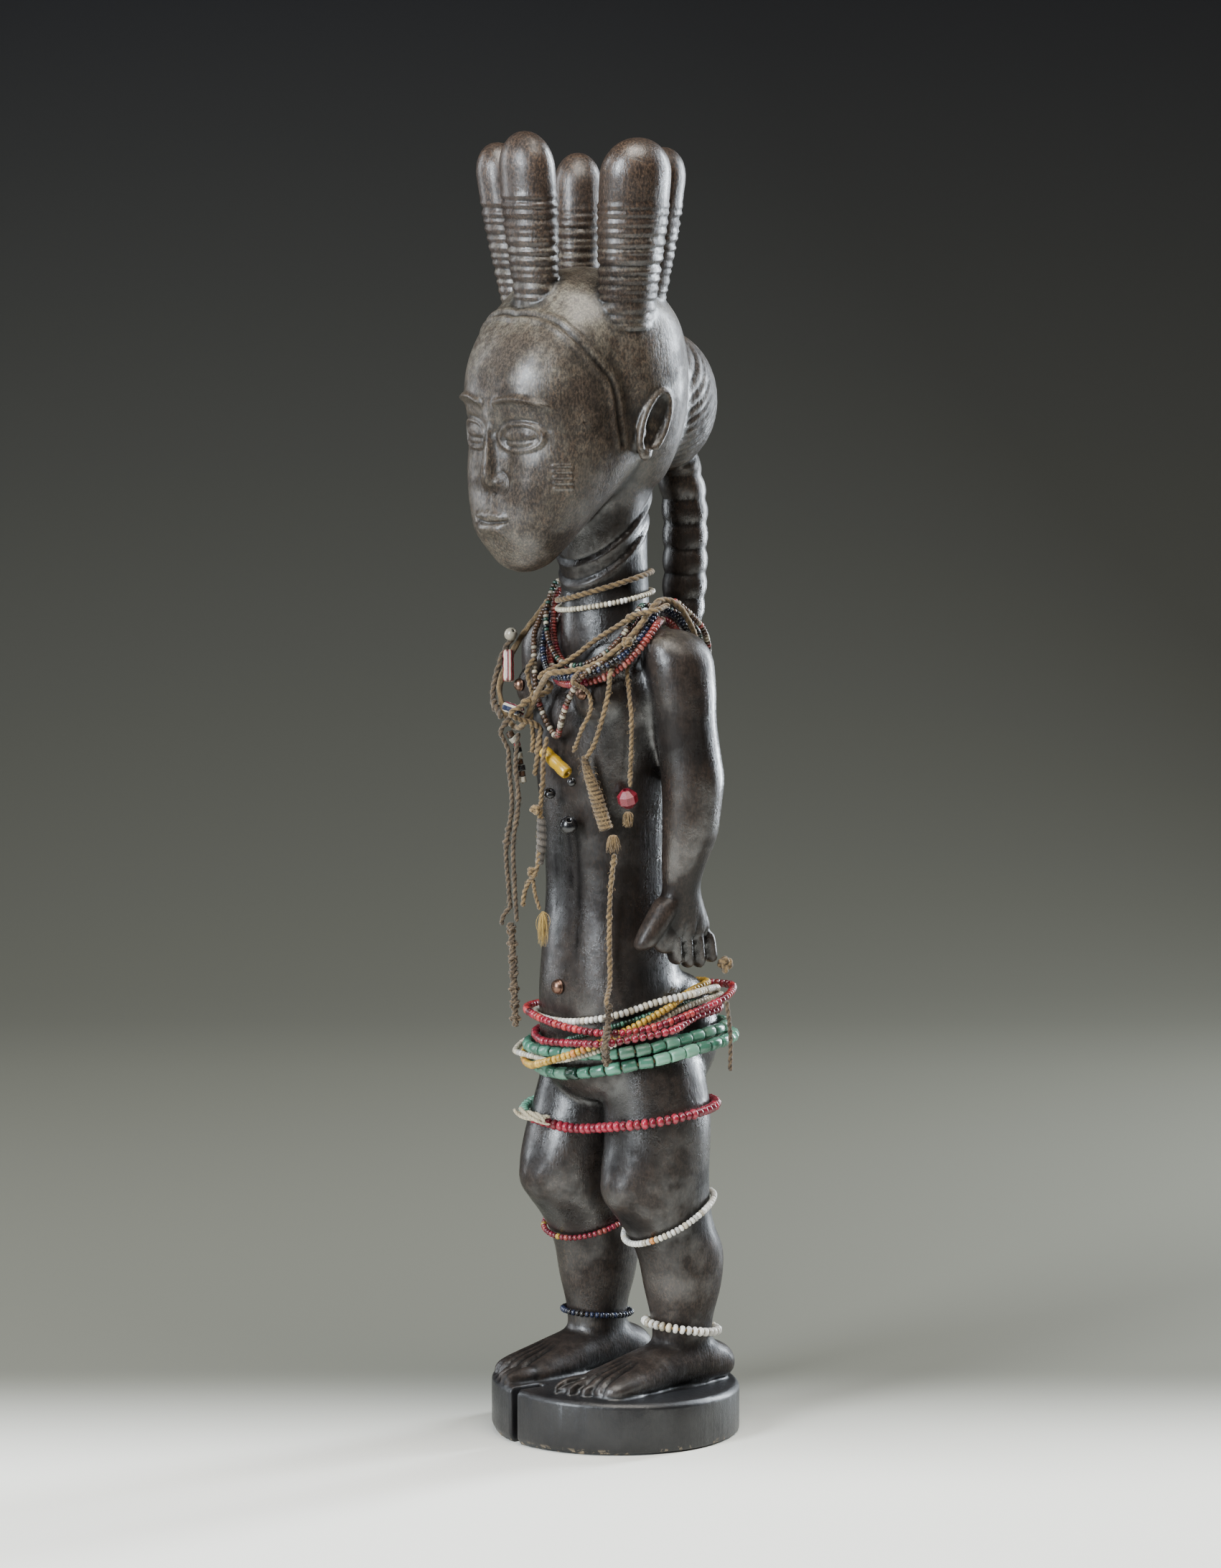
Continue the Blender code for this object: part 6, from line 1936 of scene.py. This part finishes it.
def fibre_look(name, mottle, low, high, soil, roughness=0.85):
    """Spun plant fibre: streaky, dull, dirty in patches."""
    look, tree, shader, place = new_look(name)
    large, _, _ = grouped(tree, mottle, place, 160.0, 1800.0)
    strands = noise_at(tree, stretched(tree, place, (1.0, 1.0, 0.5)), 3600.0, 3.0, 0.6)
    spun = blend_colour(tree, ranged(tree, strands, 0.35, 0.65), low, high)
    dirty = blend_colour(tree, scaled(tree, large, 0.55), spun, soil)
    in_shade = tuple(0.30 * tone for tone in soil)
    shaded = blend_colour(tree, scaled(tree, field(tree, "valley"), 0.85), dirty, in_shade)
    feed(tree, shader, {"Base Color": shaded, "Roughness": roughness, "Specular IOR Level": 0.30,
                        "Sheen Weight": 0.22, "Sheen Roughness": 0.5,
                        "Normal": bumped(tree, strands, 0.7, 0.00022)})
    return look


def glass_look(name, mottle, palette, stretch=None):
    """Old glass beads: a colour from the palette for each bead, a change of tone, grime and pits.
    The palette is a list of (share of the beads up to here, colour); a stretch (from, to, colour)
    colours the beads of that part of the strand alike."""
    look, tree, shader, place = new_look(name)
    ramp = tree.nodes.new("ShaderNodeValToRGB")
    ramp.color_ramp.interpolation = "CONSTANT"
    stops = ramp.color_ramp.elements
    start = 0.0
    for number, (until, colour) in enumerate(palette):
        if number == 0:
            stop = stops[0]
        elif number == 1:
            stop = stops[1]
        else:
            stop = stops.new(start)
        stop.position = start
        stop.color = (*colour, 1.0)
        start = until
    if len(palette) == 1:
        stops[1].color = (*palette[0][1], 1.0)
    tree.links.new(field(tree, "pick"), ramp.inputs["Fac"])
    colour = ramp.outputs["Color"]
    if stretch is not None:
        first, last, own_colour = stretch
        past = worked_out(tree, "GREATER_THAN", field(tree, "along"), first)
        before = worked_out(tree, "LESS_THAN", field(tree, "along"), last)
        colour = blend_colour(tree, product(tree, past, before), colour, own_colour)
    hue = tree.nodes.new("ShaderNodeHueSaturation")
    tree.links.new(colour, hue.inputs["Color"])
    tree.links.new(ranged(tree, field(tree, "tone"), 0.0, 1.0, 0.62, 1.30), hue.inputs["Value"])
    _, _, mixed = grouped(tree, mottle, place, 330.0, 2400.0)
    soiled = blend_colour(tree, scaled(tree, mixed, 0.40), hue.outputs["Color"],
                          (0.030, 0.022, 0.015))
    feed(tree, shader, {"Base Color": soiled, "Specular IOR Level": 0.55, "Coat Weight": 0.15,
                        "Coat Roughness": 0.12,
                        "Roughness": ranged(tree, mixed, 0.0, 0.8, 0.20, 0.45),
                        "Normal": bumped(tree, noise_at(tree, place, 3000.0), 0.2, 0.00010)})
    return look


def striped_look(name, mottle, base, stripe, thread_colour, count):
    """A long glass bead with stripes drawn along it."""
    look, tree, shader, place = new_look(name)
    wave = worked_out(tree, "SINE", scaled(tree, field(tree, "around"), count))
    lines = ranged(tree, wave, 0.15, 0.35)
    thin = ranged(tree, wave, -0.75, -0.85)
    colour = blend_colour(tree, lines, base, stripe)
    colour = blend_colour(tree, thin, colour, thread_colour)
    _, _, mixed = grouped(tree, mottle, place, 400.0, 2600.0)
    soiled = blend_colour(tree, scaled(tree, mixed, 0.4), colour, (0.025, 0.02, 0.015))
    feed(tree, shader, {"Base Color": soiled, "Coat Weight": 0.2,
                        "Roughness": ranged(tree, mixed, 0.0, 0.8, 0.25, 0.5),
                        "Normal": bumped(tree, noise_at(tree, place, 2600.0), 0.2, 0.0001)})
    return look


def floor_look():
    """Pale paper under the figure, with painted shade that darkens it behind the figure, up the backdrop and
    out of the view's sides.
    """
    look, tree, shader, place = new_look("pale_floor")
    cloud = noise_at(tree, place, 3.0, 3.0)
    pale = blend_colour(tree, ranged(tree, cloud, 0.3, 0.7), (0.87, 0.855, 0.775), (0.90, 0.885, 0.82))
    # Painted shade: the floor greys behind the figure, standing in for light falling off
    behind = ranged(tree, field(tree, "away"), -0.11, 0.10)
    behind.node.interpolation_type = "SMOOTHSTEP"
    shaded_behind = blend_colour(tree, behind, pale, (0.120, 0.119, 0.097))
    # Painted shade: near black high up the backdrop
    high = ranged(tree, field(tree, "away"), 0.75, 2.1)
    shaded_high = blend_colour(tree, high, shaded_behind, (0.012, 0.012, 0.013))
    # Painted shade: dark out of the view's sides and far toward the camera
    beside = value_node(tree, "ShaderNodeVectorMath", operation="DOT_PRODUCT")
    tree.links.new(place, beside.inputs[0])
    beside.inputs[1].default_value = (math.cos(VIEW_TURN), math.sin(VIEW_TURN), 0.0)
    outside = worked_out(tree, "ABSOLUTE", beside.outputs["Value"])
    edge = worked_out(tree, "MAXIMUM", ranged(tree, outside, 0.42, 0.85),
                      ranged(tree, field(tree, "away"), -0.30, -0.65))
    shaded_floor = blend_colour(tree, edge, shaded_high, (0.030, 0.030, 0.028))
    feed(tree, shader, {"Base Color": shaded_floor, "Roughness": 0.75, "Specular IOR Level": 0.2,
                        "Normal": bumped(tree, noise_at(tree, place, 900.0), 0.1, 0.0003)})
    return look


RED = (0.26, 0.012, 0.030)
DEEP_RED = (0.150, 0.006, 0.018)
ORANGE_RED = (0.32, 0.030, 0.030)
CREAM = (0.47, 0.42, 0.32)
WHITE = (0.60, 0.58, 0.53)
BRICK = (0.20, 0.032, 0.026)
DUSTY_PINK = (0.34, 0.11, 0.085)
DULL_CREAM = (0.30, 0.26, 0.19)
YELLOW = (0.62, 0.36, 0.012)
AMBER = (0.42, 0.16, 0.035)
OCHRE = (0.42, 0.25, 0.035)
SEA_GREEN = (0.066, 0.195, 0.130)
PALE_GREEN = (0.135, 0.300, 0.210)
DARK_GREEN = (0.012, 0.045, 0.030)
NIGHT_BLUE = (0.008, 0.014, 0.040)
BLACK = (0.006, 0.006, 0.008)
BROWN = (0.060, 0.030, 0.016)


def make_looks():
    mottle = mottle_group()
    glass = {
        "cream_seed": [(0.85, CREAM), (1.0, WHITE)],
        "cream_ring": [(0.6, WHITE), (1.0, CREAM)],
        "cream_round": [(1.0, CREAM)],
        "red_seed": [(0.75, BRICK), (0.9, DEEP_RED), (1.0, DUSTY_PINK)],
        "red_amber": [(0.70, BRICK), (0.84, DEEP_RED), (0.93, DUSTY_PINK), (1.0, CREAM)],
        "red_bright": [(0.45, RED), (0.65, ORANGE_RED), (1.0, DEEP_RED)],
        "red_deep": [(0.7, DEEP_RED), (1.0, RED)],
        "thigh_red": [(0.55, DEEP_RED), (1.0, RED)],
        "dark_blue": [(0.6, NIGHT_BLUE), (1.0, BLACK)],
        "dark_mixed": [(0.30, BLACK), (0.50, DARK_GREEN), (0.62, DULL_CREAM), (1.0, BROWN)],
        "brown_white": [(0.62, BROWN), (0.88, DULL_CREAM), (1.0, BRICK)],
        "sea_green": [(0.55, SEA_GREEN), (0.95, PALE_GREEN), (1.0, DARK_GREEN)],
        "dark_green": [(0.8, DARK_GREEN), (1.0, SEA_GREEN)],
        "ochre": [(0.92, OCHRE), (1.0, AMBER)],
        "red_yellow": [(0.62, DEEP_RED), (0.84, BRICK), (1.0, OCHRE)],
        "white_amber": [(0.70, WHITE), (0.97, CREAM), (1.0, AMBER)],
        "red_glass": [(1.0, RED)],
        "ochre_tube": [(1.0, YELLOW)],
        "black_glass": [(1.0, BLACK)],
        "orange_round": [(1.0, ORANGE_RED)],
    }
    stretches = {"thigh_red": (0.50, 0.655, PALE_GREEN), "red_seed": (0.05, 0.12, CREAM)}
    looks = {}
    for name, palette in glass.items():
        looks[name] = glass_look("glass_" + name, mottle, palette, stretches.get(name))
    looks["wood"] = wood_look(mottle)
    looks["copper"] = copper_look(mottle)
    looks["fibre"] = fibre_look("plant_fibre", mottle, (0.105, 0.062, 0.025), (0.34, 0.225, 0.098),
                                (0.048, 0.029, 0.014))
    looks["brown_fibre"] = fibre_look("soiled_fibre", mottle, (0.050, 0.032, 0.018), (0.19, 0.128, 0.070),
                                      (0.026, 0.018, 0.012))
    looks["pale_fibre"] = fibre_look("pale_fibre", mottle, (0.34, 0.28, 0.17), (0.60, 0.53, 0.38),
                                     (0.24, 0.18, 0.10))
    looks["gold_fibre"] = fibre_look("gold_fibre", mottle, (0.24, 0.145, 0.030), (0.50, 0.34, 0.10),
                                     (0.10, 0.06, 0.02), 0.6)
    looks["cloth"] = fibre_look("bound_cloth", mottle, (0.060, 0.048, 0.038), (0.20, 0.17, 0.14),
                                (0.035, 0.028, 0.022))
    looks["red_stripe"] = striped_look("striped_red_glass", mottle, RED, CREAM, DARK_GREEN, 7.0)
    looks["blue_stripe"] = striped_look("striped_blue_glass", mottle, NIGHT_BLUE, CREAM, RED, 7.0)
    return looks


def main():
    make_camera()
    make_studio(floor_look())
    looks = make_looks()
    figure = make_figure(looks["wood"])
    add_piece(figure, "wood", "figure")
    tree = body_tree(figure.data)
    laid = []
    set_tacks(tree, laid, looks)
    lay_strands(tree, laid, looks)
    hang_beads(tree, laid, looks)
    bare = list(laid)
    wraps = hang_wraps(tree, laid, looks)
    lumps = hang_lumps(tree, laid, looks)
    hang_cords(tree, bare, laid, looks)


main()
